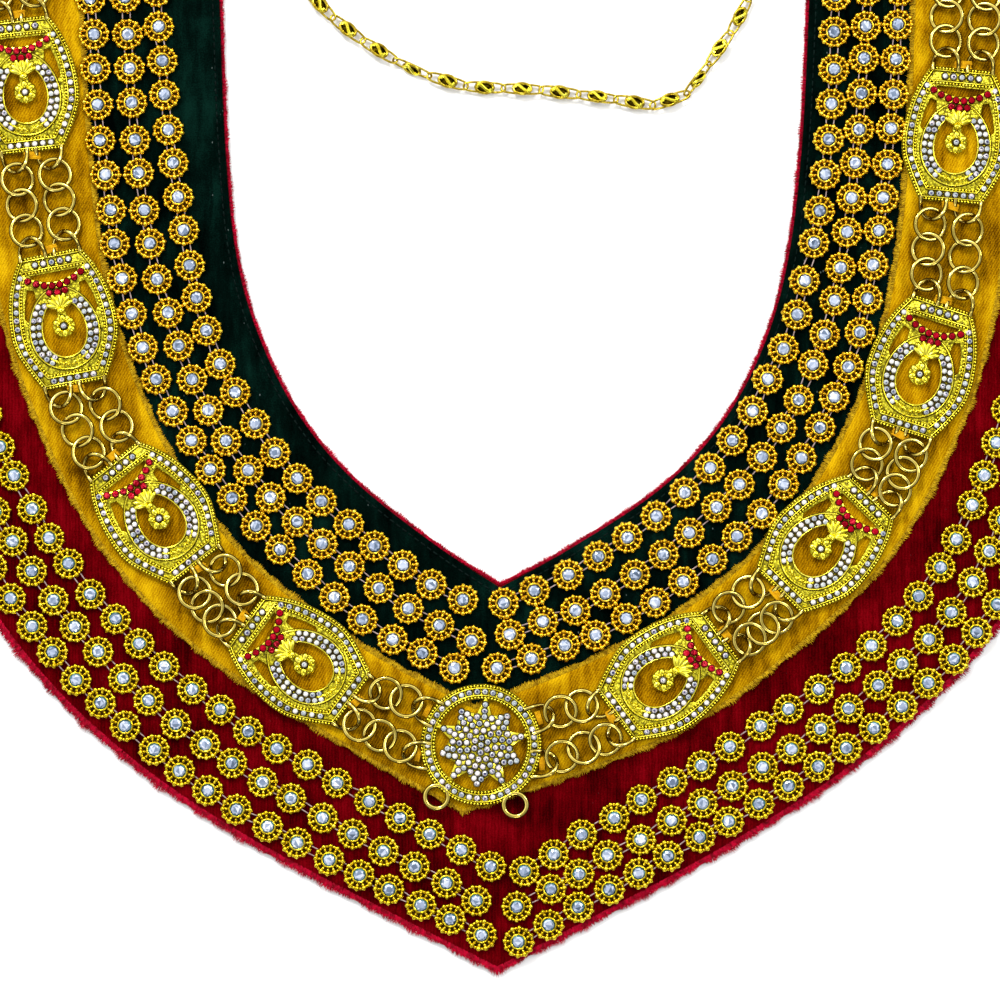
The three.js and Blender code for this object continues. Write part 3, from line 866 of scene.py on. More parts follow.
# Stone flowers; levels are measured from the flower's own foot
flower = {
    "beads": 12, "beadRadius": 1.0, "beadRing": 4.3, "beadSquash": 0.95, "level": 0.9,
    "smallRadius": 0.6, "smallRing": 4.25, "smallDrop": 0.1, "smallOpen": 0.48,
    "pinRing": 3.25, "pinRadius": 0.25, "pinLong": 1.7, "pinDrop": 0.25, "pinBeadRise": 0.05,
    "backRadius": 4.2, "backLevel": 0.45, "colletRadius": 2.55, "colletHigh": 1.0, "colletLevel": 0.8,
    "stone": 2.12, "bezel": 2.75, "stoneHigh": 1.1, "stoneLevel": 1.15, "bezelHigh": 0.6,
    "pitch": 10.75, "endSpace": 5.5, "alongScatter": 0.18, "scatter": 0.22, "askew": 0.035, "rise": 0.25,
    "clear": 10.0, "easing": 60, "ease": 0.25,
    "threadApart": 1.2, "threadRadius": 0.2, "threadLong": 2.4, "threadRise": 0.75, "threadSway": 0.06,
}


def circled(count, radius, level, offset=0.0):
    spots = []
    for k in range(count):
        a = 2 * math.pi * (k + offset) / count
        spots.append(spot(radius * math.cos(a), radius * math.sin(a), level, a))
    return spots


# Two batches: warm gold on the green, lemon gold with teal-edged stones on the red
def flowerParts(gilt, edge):
    level, count = flower["level"], flower["beads"]
    # A near-black disc behind the openwork: painted shade in the holes between the beads and pins
    back = made(bpy.ops.mesh.primitive_circle_add, vertices=12, radius=flower["backRadius"] * mm,
                fill_type="NGON", location=(0, 0, flower["backLevel"] * mm))
    dress(back, paintedHoleShade, 30)
    bead = beadShape(flower["beadRadius"], gilt, flower["beadSquash"])
    small = made(bpy.ops.mesh.primitive_uv_sphere_add, segments=5, ring_count=3,
                 radius=flower["smallRadius"] * mm)
    small = Shape(dress(openBelow(small, -flower["smallOpen"] * flower["smallRadius"]), gilt, 80))
    pin = rodShape(flower["pinRadius"], flower["pinLong"], gilt, 4, 80)
    beads = stamped("beads", [
        (bead, circled(count, flower["beadRing"], level)),
        (small, circled(count, flower["smallRing"], level - flower["smallDrop"], 0.5)),
        (small, circled(count, flower["pinRing"], level + flower["pinBeadRise"])),
        (pin, circled(count, flower["pinRing"], level - flower["pinDrop"]))])
    stone = stoneShape(flower["stone"], flower["stoneHigh"], 8, (flowerStone, edge, flowerStone), gilt,
                       flower["bezel"] - flower["stone"], flower["bezelHigh"])
    stone.location.z = flower["stoneLevel"] * mm
    applied(stone)
    collet = made(bpy.ops.mesh.primitive_cylinder_add, vertices=12, radius=flower["colletRadius"] * mm,
                  depth=flower["colletHigh"] * mm, end_fill_type="NOTHING",
                  location=(0, 0, flower["colletLevel"] * mm))
    dress(collet, gilt, 50)
    beads.data.attributes.remove(beads.data.attributes["spark"])
    return Shape(joined([back, beads, stone, collet], "flower"), 0.75)


# Each string: where it meets the front, and its distances from the neck edge along the arm
strings = {
    "left": [
        (-11.6, -5.3, (11.9, 12.5, 13.8, 15.6, 15.6, 17.5, 20.0, 20.0)),
        (-9.4, -18.4, (21.9, 22.5, 23.8, 25.0, 26.3, 28.4, 29.7, 29.7)),
        (-13.8, -26.4, (32.8, 32.3, 33.2, 35.6, 37.2, 39.1, 40.9, 40.9)),
        (-2.8, -88.4, (80.9, 83.8, 86.6, 88.8, 89.4, 89.4, 89.4, 89.4)),
        (-7.5, -99.1, (92.2, 95.0, 96.9, 98.8, 99.4, 99.4, 99.4, 99.4)),
        (-5.3, -110.0, (103.4, 105.6, 107.2, 108.8, 109.4, 109.4, 109.4, 109.4)),
    ],
    "right": [
        (0.9, -6.9, (7.5, 6.6, 6.6, 6.6, 7.5, 8.8, 9.7, 9.7)),
        (3.2, -15.6, (18.8, 17.0, 16.9, 17.2, 17.5, 17.8, 18.8, 18.8)),
        (-1.0, -26.3, (28.1, 28.1, 27.5, 27.5, 27.5, 27.3, 28.1, 28.1)),
        (7.6, -90.3, (79.7, 80.6, 82.5, 79.0, 78.1, 78.1, 78.1, 78.1)),
        (5.3, -100.9, (90.6, 91.6, 93.4, 90.0, 89.4, 89.4, 89.4, 89.4)),
        (5.7, -112.2, (99.1, 100.6, 103.4, 100.6, 100.0, 100.0, 100.0, 100.0)),
    ],
}
flowerShapes = [flowerParts(flowerGold, stoneEdge), flowerParts(lemonGold, tealEdge)]
threadShape = rodShape(flower["threadRadius"], flower["threadLong"], whiteThread)

flowerSpots = {}
for side in sign:
    for number, (x, y, distances) in enumerate(strings[side], 1):
        line = armLine(side, (x, y), distances, 300)
        reach = reachOf(line)
        last = reach[-1] - flower["endSpace"]
        count = int(last / flower["pitch"]) + 1
        s = np.linspace(0, last, count) + rng.normal(0, flower["alongScatter"], count)
        spots = pointAt(line, reach, s)
        flowerSpots[side, number] = spots + rng.normal(0, flower["scatter"], spots.shape)

# Flowers that would run into each other are eased apart
allSpots = np.vstack(list(flowerSpots.values()))
for step in range(flower["easing"]):
    apart = allSpots[:, None] - allSpots[None]
    gap = np.linalg.norm(apart, axis=2) + 1e3 * np.eye(len(allSpots))
    push = np.clip(flower["clear"] - gap, 0, None) / gap
    allSpots = allSpots + flower["ease"] * (apart * push[..., None]).sum(1)

for (side, number), spots in flowerSpots.items():
    spots, allSpots = allSpots[:len(spots)], allSpots[len(spots):]
    onRed = number > 3
    low = (collar["baseTop"] if onRed else collar["bandTop"]) + flower["rise"]
    centres = [onCollar(place, low, rng.uniform(0, anyTurn), 1.0, rng.normal(0, flower["askew"], 2))
               for place in spots]
    threads = []
    for a, b in zip(spots[:-1], spots[1:]):
        ahead = bearing(a, b)
        for way in (-1, 1):
            off = way * flower["threadApart"] * np.array([-math.sin(ahead), math.cos(ahead)])
            threads.append(onCollar((a + b) / 2 + off, low + flower["threadRise"],
                                    ahead + rng.normal(0, flower["threadSway"])))
    string = stamped(f"flowers_{side}_{number}", [(flowerShapes[onRed], centres), (threadShape, threads)])
    ready(string, "stone_flowers", f"flower_string_{side}_{number}")
print("flowers strung")

# Plaques: a barrel-shaped pierced casting with a stone rim, a wreath, a garland of red stones and a rosette.
# Rows of an outline are height and half width; the values with High are low, high and softened edge.
plaque = {
    "outline": [(21, 9.8), (15, 13.2), (8, 15.6), (0, 16.8), (-7, 16.4), (-14, 13.6), (-21, 9.9)],
    "window": [(15.4, 8.9), (8, 11.1), (0, 12.2), (-7, 11.8), (-13, 9.3), (-16.4, 7.3)],
    "slot": [(7.6, 15.0), (-7.6, 15.0)], "slotHalf": 7.2,
    "gapCorner": [(7.2, 10.3), (9.2, 10.9), (10.7, 6.6), (11.55, 2.0)], "gapArc": (14, 47),
    "wreath": -2.8, "taper": 0.1, "wreathOut": ((11.0, 13.1), (10.55, 12.65)),
    "wreathIn": ((7.15, 9.45), (6.7, 9.0)), "wreathOutLine": ((11.3, 13.4), (10.95, 13.05)),
    "wreathInLine": ((7.4, 9.7), (7.1, 9.4)), "wreathStones": ((9.75, 11.85, 11.0), (7.95, 10.1, 13.4)),
    "wreathArc": (-58, 50), "stemArc": (101, 439), "rosette": -2.2, "stemRadius": 3.4, "stemTurn": (66, -246),
    "swagLow": 10.7, "swagRise": 3.0, "swagHalf": 8.8,
    "garlandHalf": 9.9, "garlandUp": 1.3, "garlandDown": 1.25,
    "ridge": (1.02, 1.42), "ridgeLine": (1.38, 1.66), "channel": (0.15, 0.98), "grains": 0.54,
    "innerRidge": (-1.25, -0.85), "innerRidgeLine": (-1.5, -1.2), "innerChannel": (-0.82, -0.05),
    "innerGrains": -0.4, "grainPitch": 1.02, "grainLevel": 1.6,
    "plateHigh": (0, 1.3, 0.2), "ridgeHigh": (1.1, 2.0, 0.12), "wreathHigh": (1.1, 1.9, 0.12),
    "wreathDeepHigh": (0.0, 1.9, 0.12), "garlandHigh": (0.2, 1.9, 0.2), "channelHigh": (1.0, 1.4, 0.0),
    "lineHigh": (1.0, 1.36, 0.0), "hubRadius": 1.2, "hubHigh": 1.9, "leafHigh": 0.75,
    "stone": 1.06, "setting": 0.25, "girdle": 0.76, "stoneLevel": 1.45, "redLevel": 1.9, "askew": 0.06,
    "barStones": (18.1, 5.3, 5), "footStones": (-18.6, 6.3, 6), "sideInset": 2.45, "sidePitch": 2.62,
    "sideMiddle": -0.6, "sideHalf": 15.8, "redStone": 1.2, "redHalf": 8.4, "reds": 8, "redRise": 0.05,
    "redDrops": (-2.4, 0, 2.4), "redDrop": 2.2,
    "loopOffset": 5.4, "loopHalf": 4.0, "loopLong": 5.8, "loopWave": 1.8, "loopDeep": 1.2, "wire": 0.72,
    "halfLong": 21,
}
# Leaves of the palmette, petals of the rosette and sprays at the foot: long, wide and level of each
leaf = {
    "palmette": {"count": 7, "from": 24, "step": 22, "foot": 3.3, "squash": 0.95, "long": 3.3, "less": 0.24,
                 "wide": 0.9, "level": 1.8},
    "heart": (0, 2.7, 0, 1.5, 0.95, 2.0),
    "petals": {"count": 6, "from": 30, "ring": 2.35, "size": (1.5, 1.12, 1.4)},
    "sprays": {"count": 4, "from": 7, "step": 9, "path": (8.8, 11.1), "lean": 38, "leanStep": 6,
               "size": (1.35, 0.55, 1.5)},
}
plaquePlaces = {
    "left": [(-62.8, -24.1, 53.5), (-107.7, 21.9, 38.1), (-136.5, 82.4, 10.9), (-148.4, 155.4, 6.3),
             (-154.6, 228.9, 4.0)],
    "right": [(52.6, -29.0, -53.6), (101.6, 12.3, -44.2), (131.6, 67.3, -17.8), (142.5, 139.7, -5.2),
              (147.5, 213.1, -4.0)],
}
ringCounts = [(2, 3), (2, 3), (2, 3), (3, 3), (3, 3)]  # neck strand and outer strand of each space


# The barrel outline, moved inwards by a distance and cut square at both ends
def barrelLoop(rows, distance=0.0):
    side = catmull([(half, height) for height, half in rows], 48)
    along = np.gradient(side, axis=0)
    along /= np.linalg.norm(along, axis=1)[:, None]
    side = np.vstack([side[0] - along[0] * 4, side, side[-1] + along[-1] * 4])
    along = np.vstack([along[:1], along, along[-1:]])
    side = side + distance * np.column_stack([along[:, 1], -along[:, 0]])
    top, foot = rows[0][0] - distance, rows[-1][0] + distance
    ends = [(float(np.interp(y, side[::-1, 1], side[::-1, 0])), y) for y in (top, foot)]
    kept = side[(side[:, 1] < top - 0.2) & (side[:, 1] > foot + 0.2)]
    right = np.vstack([ends[1], kept[::-1], ends[0]])
    return np.vstack([right, right[::-1] * (-1, 1)])


# An egg-shaped loop about the wreath's middle, narrower above
def eggLoop(rx, ry, degrees):
    a = np.radians(degrees)
    wide = rx * np.cos(a) * (1 - plaque["taper"] * np.sin(a))
    return np.column_stack([wide, plaque["wreath"] + ry * np.sin(a)])


def swag(x):
    return plaque["swagLow"] + plaque["swagRise"] * (x / plaque["swagHalf"]) ** 2


def leafSpots():
    leaves = []
    palmette, petals, sprays = leaf["palmette"], leaf["petals"], leaf["sprays"]
    for k in range(palmette["count"]):
        a = math.radians(palmette["from"] + palmette["step"] * k)
        long = palmette["long"] - palmette["less"] * abs(k - palmette["count"] // 2)
        y = palmette["foot"] + long * palmette["squash"] * math.sin(a)
        leaves.append((long * math.cos(a), y, a, long, palmette["wide"], palmette["level"]))
    leaves.append(leaf["heart"])
    for k in range(petals["count"]):
        degrees = 360 / petals["count"] * k + petals["from"]
        x, y = polar(petals["ring"], degrees)
        leaves.append((x, plaque["rosette"] + y, math.radians(degrees), *petals["size"]))
    for k in range(sprays["count"]):
        for way in (1, -1):
            x, y = eggLoop(*sprays["path"], [-90 + way * (sprays["from"] + sprays["step"] * k)])[0]
            lean = way * (sprays["lean"] + sprays["leanStep"] * k) + (0 if way > 0 else 180)
            leaves.append((x, y, math.radians(lean), *sprays["size"]))
    return [spot(x, y, level, a) @ np.diag([long, wide, plaque["leafHigh"], 1])
            for x, y, a, long, wide, level in leaves]


# Middles of the clear stones: bar, foot, both sides and the two rows of the wreath
def plaqueStones():
    stones = []
    for y, half, count in (plaque["barStones"], plaque["footStones"]):
        stones += [(x, y) for x in np.linspace(-half, half, count)]
    sides = barrelLoop(plaque["outline"], plaque["sideInset"])
    nearMiddle = np.abs(sides[:, 1] - plaque["sideMiddle"]) < plaque["sideHalf"]
    half = [sampled(sides[(sides[:, 0] > 0) & nearMiddle], plaque["sidePitch"], closed=False)]
    for rx, ry, pitch in plaque["wreathStones"]:
        half.append(eggLoop(rx, ry, np.arange(*plaque["wreathArc"], pitch)))
    for x, y in np.vstack(half):
        stones += [(x, y), (-x, y)]
    return [(x, y, plaque["stoneLevel"]) for x, y in stones]


def plaqueParts():
    rows, window, rosette = plaque["outline"], plaque["window"], plaque["rosette"]
    full = np.linspace(0, 360, 64, endpoint=False)

    def rims(outline, name):
        return [barrelLoop(outline, inset) for inset in plaque[name]]

    def eggs(name):
        return [eggLoop(*egg, full) for egg in plaque[name]]

    def garlandEdge(start, rise, count=19):
        return [(x, swag(x) + rise) for x in np.linspace(start, -start, count)]

    slot = plaque["slot"] + garlandEdge(-plaque["slotHalf"], plaque["garlandUp"], 15)
    gap = np.vstack([eggLoop(*plaque["wreathOut"][0], np.linspace(*plaque["gapArc"], 8)),
                     plaque["gapCorner"]])
    stemTop = np.array([polar(plaque["stemRadius"], turn) for turn in np.linspace(*plaque["stemTurn"], 30)])
    stem = np.vstack([eggLoop(*plaque["wreathIn"][1], np.linspace(*plaque["stemArc"], 44)),
                      stemTop + (0, rosette)])
    garland = garlandEdge(-plaque["garlandHalf"], plaque["garlandUp"])
    garland += garlandEdge(plaque["garlandHalf"], -plaque["garlandDown"])
    raised = (
        ("plate", [barrelLoop(rows), slot, gap, (gap * (-1, 1))[::-1], stem], "plateHigh", deepGold),
        ("ridge", rims(rows, "ridge"), "ridgeHigh", castGold),
        ("innerRidge", rims(window, "innerRidge"), "ridgeHigh", castGold),
        ("wreath", eggs("wreathOut"), "wreathHigh", castGold),
        ("wreathInner", eggs("wreathIn"), "wreathDeepHigh", castGold),
        ("garland", [garland], "garlandHigh", castGold),
    )
    # painted shade: dark channels for the grains, and dark lines beside the ridges, where shade falls
    sunk = (
        ("channel", rims(rows, "channel"), "channelHigh", paintedGapShade),
        ("ridgeLine", rims(rows, "ridgeLine"), "lineHigh", paintedGapShade),
        ("innerRidgeLine", rims(window, "innerRidgeLine"), "lineHigh", paintedGapShade),
        ("wreathLine", eggs("wreathOutLine"), "lineHigh", paintedGapShade),
        ("wreathLine", eggs("wreathInLine"), "lineHigh", paintedGapShade),
        ("innerChannel", rims(window, "innerChannel"), "channelHigh", paintedGapShade),
    )
    pieces = [plateFrom(name, loops, *plaque[high], finish) for name, loops, high, finish in raised]
    hub = made(bpy.ops.mesh.primitive_cylinder_add, vertices=10, radius=plaque["hubRadius"] * mm,
               depth=plaque["hubHigh"] * mm, location=(0, rosette * mm, plaque["hubHigh"] / 2 * mm))
    pieces.append(dress(hub, castGold, 40))
    pieces += [plateFrom(name, loops, *plaque[high], finish) for name, loops, high, finish in sunk]

    leafBall = made(bpy.ops.mesh.primitive_uv_sphere_add, segments=9, ring_count=5, radius=mm)
    leafShape = Shape(dress(leafBall, castGold, 80))
    grain = beadShape(milgrain["radius"], castGold, milgrain["squash"])
    grainLines = (barrelLoop(rows, plaque["grains"]), barrelLoop(window, plaque["innerGrains"]))
    grains = grainRows(grainLines, plaque["grainPitch"], plaque["grainLevel"])
    clear = clearGem(plaque["stone"], plaque["setting"], plaque["girdle"])
    # The red stones' thin settings are near black too: painted shade round each stone
    crimson = Shape(stoneShape(plaque["redStone"], 0.8, 8, (redStone, redEdge, redStone), paintedGapShade,
                               0.08, 0.25))
    clears = strewn(plaqueStones(), plaque["askew"])
    clears.append(spot(0, rosette, plaque["redLevel"], 0.2))
    redRow = np.linspace(-plaque["redHalf"], plaque["redHalf"], plaque["reds"])
    reds = [(x, swag(x) + plaque["redRise"], plaque["redLevel"]) for x in redRow]
    reds += [(x, swag(x) - plaque["redDrop"], plaque["redLevel"]) for x in plaque["redDrops"]]
    reds = strewn(reds, plaque["askew"])
    pieces.append(stamped("settings", [(clear, clears), (crimson, reds), (grain, grains),
                                       (leafShape, leafSpots())]))
    return Shape(joined(pieces, "plaque"))


# A wire loop that stands out along x and waves up and down, its feet sunk in the casting
def loopWire(way, deep):
    long, half, wave = plaque["loopLong"], plaque["loopHalf"], way * plaque["loopWave"]
    points = [(-deep, half, 0)]
    for a in math.pi * np.arange(23) / 22:
        points.append((long * math.sin(a), half * math.cos(a), wave * math.sin(2 * a)))
    points.append((-deep, -half, 0))
    return polished(wireFrom("loop", points, plaque["wire"], paleGold, sides=4))


plaqueLoops = {way: loopWire(way, plaque["loopDeep"]) for way in (1, -1)}
plaqueShape = plaqueParts()


# Where a loop leaves a plaque, and which way it points
def plaqueLoop(side, index, end, strand):
    x, y, turn = plaquePlaces[side][index]
    way = 1 if end == "top" else -1
    t = math.radians(turn)
    lateral = (1 if strand else -1) * sign[side] * plaque["loopOffset"]
    dx, dy = turned(lateral, way * plaque["halfLong"], t)
    return x + dx, y + dy, t + way * math.pi / 2


for side in sign:
    for index, (x, y, turn) in enumerate(plaquePlaces[side]):
        sets = [(plaqueShape, [onCollar((x, y), collar["metalLow"], math.radians(turn))])]
        lastPlaque = index == len(plaquePlaces[side]) - 1
        for strand in (0, 1):
            ends = [("bottom", 1 if ringCounts[index][strand] % 2 else -1)]
            if not lastPlaque:
                ends.append(("top", -1))
            for end, way in ends:
                lx, ly, ahead = plaqueLoop(side, index, end, strand)
                sets.append((plaqueLoops[way], [onCollar((lx, ly), collar["linkLevel"], ahead)]))
        ready(stamped(f"plaque_cast_{side}_{index + 1}", sets), "cast_gold", f"plaque_{side}_{index + 1}")
print("plaques set")

# Medallion: a ring with a pierced star; angles in degrees
medal = {
    "x": -5.9, "y": -50.5, "radius": 19.0, "window": 14.3, "turn": 84, "points": 5, "tip": 13.1,
    "valley": 9.7, "spread": 13, "holeMargin": 2.2, "holeSteps": 12, "facets": 96,
    "ridge": (1.02, 1.42), "channel": (0.12, 0.98),
    "innerRidge": (-1.42, -1.02), "innerChannel": (-0.98, -0.12),
    "grains": (0.52, -0.5), "grainPitch": 1.04, "grainLevel": 1.7,
    "plateHigh": (0, 1.4, 0.2), "ridgeHigh": (1.2, 2.1, 0.12), "tipHigh": (1.2, 2.1, 0.2),
    "paveHigh": (1.3, 2.0, 0.2), "channelHigh": (1.1, 1.5, 0.0),
    "tipReach": 0.9, "tipSide": (9.4, 16), "tipFoot": 6.0, "paveShares": (0.96, 0.97), "paveTip": 0.2,
    "stone": 1.05, "setting": 0.16, "girdle": 0.78, "askew": 0.08, "rimStones": (16.65, 42, 1.55),
    "starRings": ((0.0, 1), (2.3, 6), (4.55, 12), (6.75, 18), (8.9, 24)), "starTurn": 11, "starLevel": 2.05,
    "tipStones": ((10.7, 0, 2.1), (12.7, 0, 2.1), (10.6, 30, 2.05), (10.6, 42, 2.05), (12.1, 36, 2.05)),
    "loops": {"left": (146.7, 189.6), "right": (25.4, -18)}, "loopSink": 7.5, "loopDeep": 2.4,
    "rings": ((-130.7, 21.3), (-60.3, 21.5)), "ringRadius": 3.6, "ringWire": 0.82, "ringRise": 1.3,
}


def medalLoop(side, strand):
    angle = medal["loops"][side][strand]
    x, y = polar(medal["radius"] * math.cos(math.radians(medal["loopSink"])), angle)
    start = np.array([x + medal["x"], y + medal["y"]])
    away = np.array(plaqueLoop(side, 0, "bottom", strand)[:2]) - start
    away = away / np.linalg.norm(away) + np.array(polar(1, angle))
    return *start, math.atan2(away[1], away[0])


def medalParts():
    rim, window, valley, spread = medal["radius"], medal["window"], medal["valley"], medal["spread"]
    step = 360 / medal["points"]
    starts = [medal["turn"] + step * k for k in range(medal["points"])]

    def ring(radius):
        return np.array([polar(radius, 360 * k / medal["facets"]) for k in range(medal["facets"])])

    # insets count from the rim, or outwards from the window where they are below zero
    def rings(name):
        return [ring((rim if inset > 0 else window) - inset) for inset in medal[name]]

    holes, tips, pave = [], [], []
    arc = (step - 2 * medal["holeMargin"]) / medal["holeSteps"]
    tipOut, tipTurn = medal["tipSide"]
    inShare, outShare = medal["paveShares"]
    for a in starts:
        hole = [polar(window, a + medal["holeMargin"] + arc * j) for j in range(medal["holeSteps"] + 1)]
        holes.append(hole + [polar(valley, a + step - spread), polar(medal["tip"], a + step / 2),
                             polar(valley, a + spread)])
        tips.append([polar(tipOut, a - tipTurn), polar(medal["tipFoot"], a), polar(tipOut, a + tipTurn),
                     polar(window + medal["tipReach"], a)])
        pave += [polar(valley * inShare, a), polar(valley * outShare, a + spread),
                 polar(medal["tip"] - medal["paveTip"], a + step / 2),
                 polar(valley * outShare, a + step - spread)]
    plates = [
        ("medalPlate", [ring(rim), *holes], "plateHigh", deepGold),
        ("medalRidge", rings("ridge"), "ridgeHigh", castGold),
        ("medalInner", rings("innerRidge"), "ridgeHigh", castGold),
        *(("starTip", [tip], "tipHigh", castGold) for tip in tips),
        ("pave", [pave], "paveHigh", deepGold),
        # painted shade: dark channels under the grains of the rim and the window
        ("medalChannel", rings("channel"), "channelHigh", paintedGapShade),
        ("medalInnerChannel", rings("innerChannel"), "channelHigh", paintedGapShade),
    ]
    pieces = [plateFrom(name, loops, *medal[high], finish) for name, loops, high, finish in plates]
    grain = beadShape(milgrain["radius"], castGold, milgrain["squash"])
    grains = grainRows(rings("grains"), medal["grainPitch"], medal["grainLevel"])
    # stones: the rim, the star's rings from the centre out, then its points
    reach, count, level = medal["rimStones"]
    stones = [(*polar(reach, 360 * k / count), level) for k in range(count)]
    for reach, count in medal["starRings"]:
        for k in range(count):
            stones.append((*polar(reach, 360 * k / count + reach * medal["starTurn"]), medal["starLevel"]))
    stones += [(*polar(reach, a + turn), level) for a in starts for reach, turn, level in medal["tipStones"]]
    clear = clearGem(medal["stone"], medal["setting"], medal["girdle"])
    pieces.append(stamped("medalStones", [(clear, strewn(stones, medal["askew"])), (grain, grains)]))
    return Shape(joined(pieces, "medal"))


medalSets = [(medalParts(), [onCollar((medal["x"], medal["y"]), collar["metalLow"])])]
medalLoopShape = loopWire(-1, medal["loopDeep"])
for side in sign:
    for strand in (0, 1):
        x, y, ahead = medalLoop(side, strand)
        medalSets.append((medalLoopShape, [onCollar((x, y), collar["linkLevel"], ahead)]))
jewelRing = wireRing(medal["ringRadius"], medal["ringWire"])
for angle, reach in medal["rings"]:
    x, y = polar(reach, angle)
    place = onCollar((medal["x"] + x, medal["y"] + y), collar["metalLow"] + medal["ringRise"])
    medalSets.append((jewelRing, [place]))
ready(stamped("medallion_cast", medalSets), "cast_gold", "star_medallion")
print("medallion set")

# Strands of rings, linked as in the solids
links = {"radius": 4.9, "sides": 10, "drawnWire": 0.7, "segments": 40, "contact": 0.86, "lift": 0.25,
         "pitch": 7.8, "least": 6.2, "most": 8.1, "medalReach": 1.0, "spread": 0.5}
ringShape = wireRing(links["radius"], links["drawnWire"], links["segments"])


# Half the width of a solid's ring, a polygon, at a distance along the strand
def crossingHalf(along):
    step = 360 / links["sides"]
    for k in range(links["sides"] // 2):
        x0, y0 = polar(links["radius"], step * (k + 0.5))
        x1, y1 = polar(links["radius"], step * (k + 1.5))
        if x1 <= along <= x0:
            return y0 + (y1 - y0) * (along - x0) / (x1 - x0)
    return 1.0


for side in sign:
    for space in range(len(ringCounts)):
        for strand in (0, 1):
            count = ringCounts[space][strand]
            near = medalLoop(side, strand) if space == 0 else plaqueLoop(side, space - 1, "top", strand)
            far = plaqueLoop(side, space, "bottom", strand)
            whole, ahead = math.dist(near[:2], far[:2]), bearing(near, far)
            extra = links["medalReach"] if space == 0 else 0
            reach = min(max((whole - (count - 1) * links["pitch"]) / 2, links["least"]), links["most"])
            pitch = (whole - 2 * reach - extra) / (count - 1)
            beside = (-1 if strand else 1) * sign[side] * links["spread"]
            places = []
            for k in range(count):
                way = -1 if k % 2 else 1
                roll = way * math.asin((links["contact"] / 2 + links["lift"]) / crossingHalf(pitch / 2))
                dx, dy = turned(extra + reach + k * pitch, beside, ahead)
                level = collar["linkLevel"] + way * links["lift"]
                places.append(rolled(onCollar((near[0] + dx, near[1] + dy), level, ahead), roll))
            name = f"{side}_{space + 1}_{('neck', 'outer')[strand]}"
            ready(stamped("rings_" + name, [(ringShape, places)]), "ring_gold", "link_strand_" + name)
print("rings linked")

# Neck chain: scroll links along its line
chain = {
    "line": [(-86.2, 251), (-79, 226), (-69.5, 203), (-57.8, 182.2), (-36.6, 165.6), (-13.4, 155.9),
             (10.6, 154.4), (35.6, 151.3), (52.5, 149.2), (58.5, 153.4), (71.6, 171.3), (77.2, 181.3),
             (84, 203), (90, 226), (95.2, 251)],
    "pitch": 12.0, "long": 13.1, "half": 1.55, "wire": 0.36, "level": 1.75, "grip": 5.5,
    "endShape": 0.8, "sideShape": 0.55, "eye": (2.8, 1.75, 0.4), "eyeWire": 0.5,
    "scroll": (2.3, 0.35, 0.6), "scrollHalf": 1.1, "scrollTaper": 0.25,
    "scrollLevel": 0.75, "scrollWire": 0.6,
    "heart": 2.0, "heartHigh": 0.4, "heartShape": (1.25, 0.8, 1),
    "roll": 0.3, "rollScatter": 0.32, "rollMost": 0.9,
    "ends": {"left": (-89.2, 251), "right": (98.3, 251)}, "endWire": 0.52, "endRise": 0.55,
}


def signedPower(value, power):
    return math.copysign(abs(value) ** power, value)


def scrollLink():
    long, half = chain["long"] / 2, chain["half"]
    oval = []
    for a in 2 * math.pi * np.arange(28) / 28:
        x, y = signedPower(math.cos(a), chain["endShape"]), signedPower(math.sin(a), chain["sideShape"])
        oval.append((long * x, half * y, 0))
    eyeLong, eyeHalf, eyeLevel = chain["eye"]
    eye = [(eyeLong * math.cos(a), eyeHalf * math.sin(a), eyeLevel) for a in 2 * math.pi * np.arange(18) / 18]
    reach, slope, swing = chain["scroll"]
    scroll = []
    for t in np.arange(23) / 11 - 1:
        x = reach * t * math.cos(slope) + swing * math.sin(math.pi * t)
        y = chain["scrollHalf"] * math.sin(-math.pi * t) * (1 - chain["scrollTaper"] * abs(t))
        scroll.append((x, y, chain["scrollLevel"]))
    pieces = [wireFrom("linkOval", oval, chain["wire"], chainGold, True),
              wireFrom("linkEye", eye, chain["eyeWire"], chainGold, True),
              wireFrom("linkScroll", scroll, chain["scrollWire"], castGold)]
    # A near-black heart under the scroll: painted shade in the gaps between its wires
    heart = made(bpy.ops.mesh.primitive_cylinder_add, vertices=14, radius=chain["heart"] * mm,
                 depth=chain["heartHigh"] * mm)
    heart.scale = chain["heartShape"]
    pieces.append(dress(applied(heart), paintedGapShade, 40))
    return Shape(joined(pieces, "link"))


linkShape = scrollLink()
line = catmull(chain["line"], 400)
reach = reachOf(line)
count = int(round(reach[-1] / chain["pitch"]))
places = []
for k in range(count):
    s = (k + 0.5) * reach[-1] / count
    a, b = (pointAt(line, reach, s + way * chain["grip"]) for way in (-1, 1))
    roll = rng.normal(0, chain["rollScatter"]) + (chain["roll"] if k % 2 else -chain["roll"])
    roll = min(max(roll, -chain["rollMost"]), chain["rollMost"])
    places.append(rolled(onCollar((a + b) / 2, chain["level"], bearing(a, b)), roll))
ready(stamped("scroll_chain", [(linkShape, places)]), "chain_gold", "neck_chain")
endRing = wireRing(medal["ringRadius"], chain["endWire"])
for side in sign:
    place = onCollar(chain["ends"][side], collar["metalLow"] + chain["endRise"])
    ready(stamped(f"end_ring_{side}", [(endRing, [place])]), "ring_gold", f"neck_chain_ring_{side}")
print("neck chain laid")

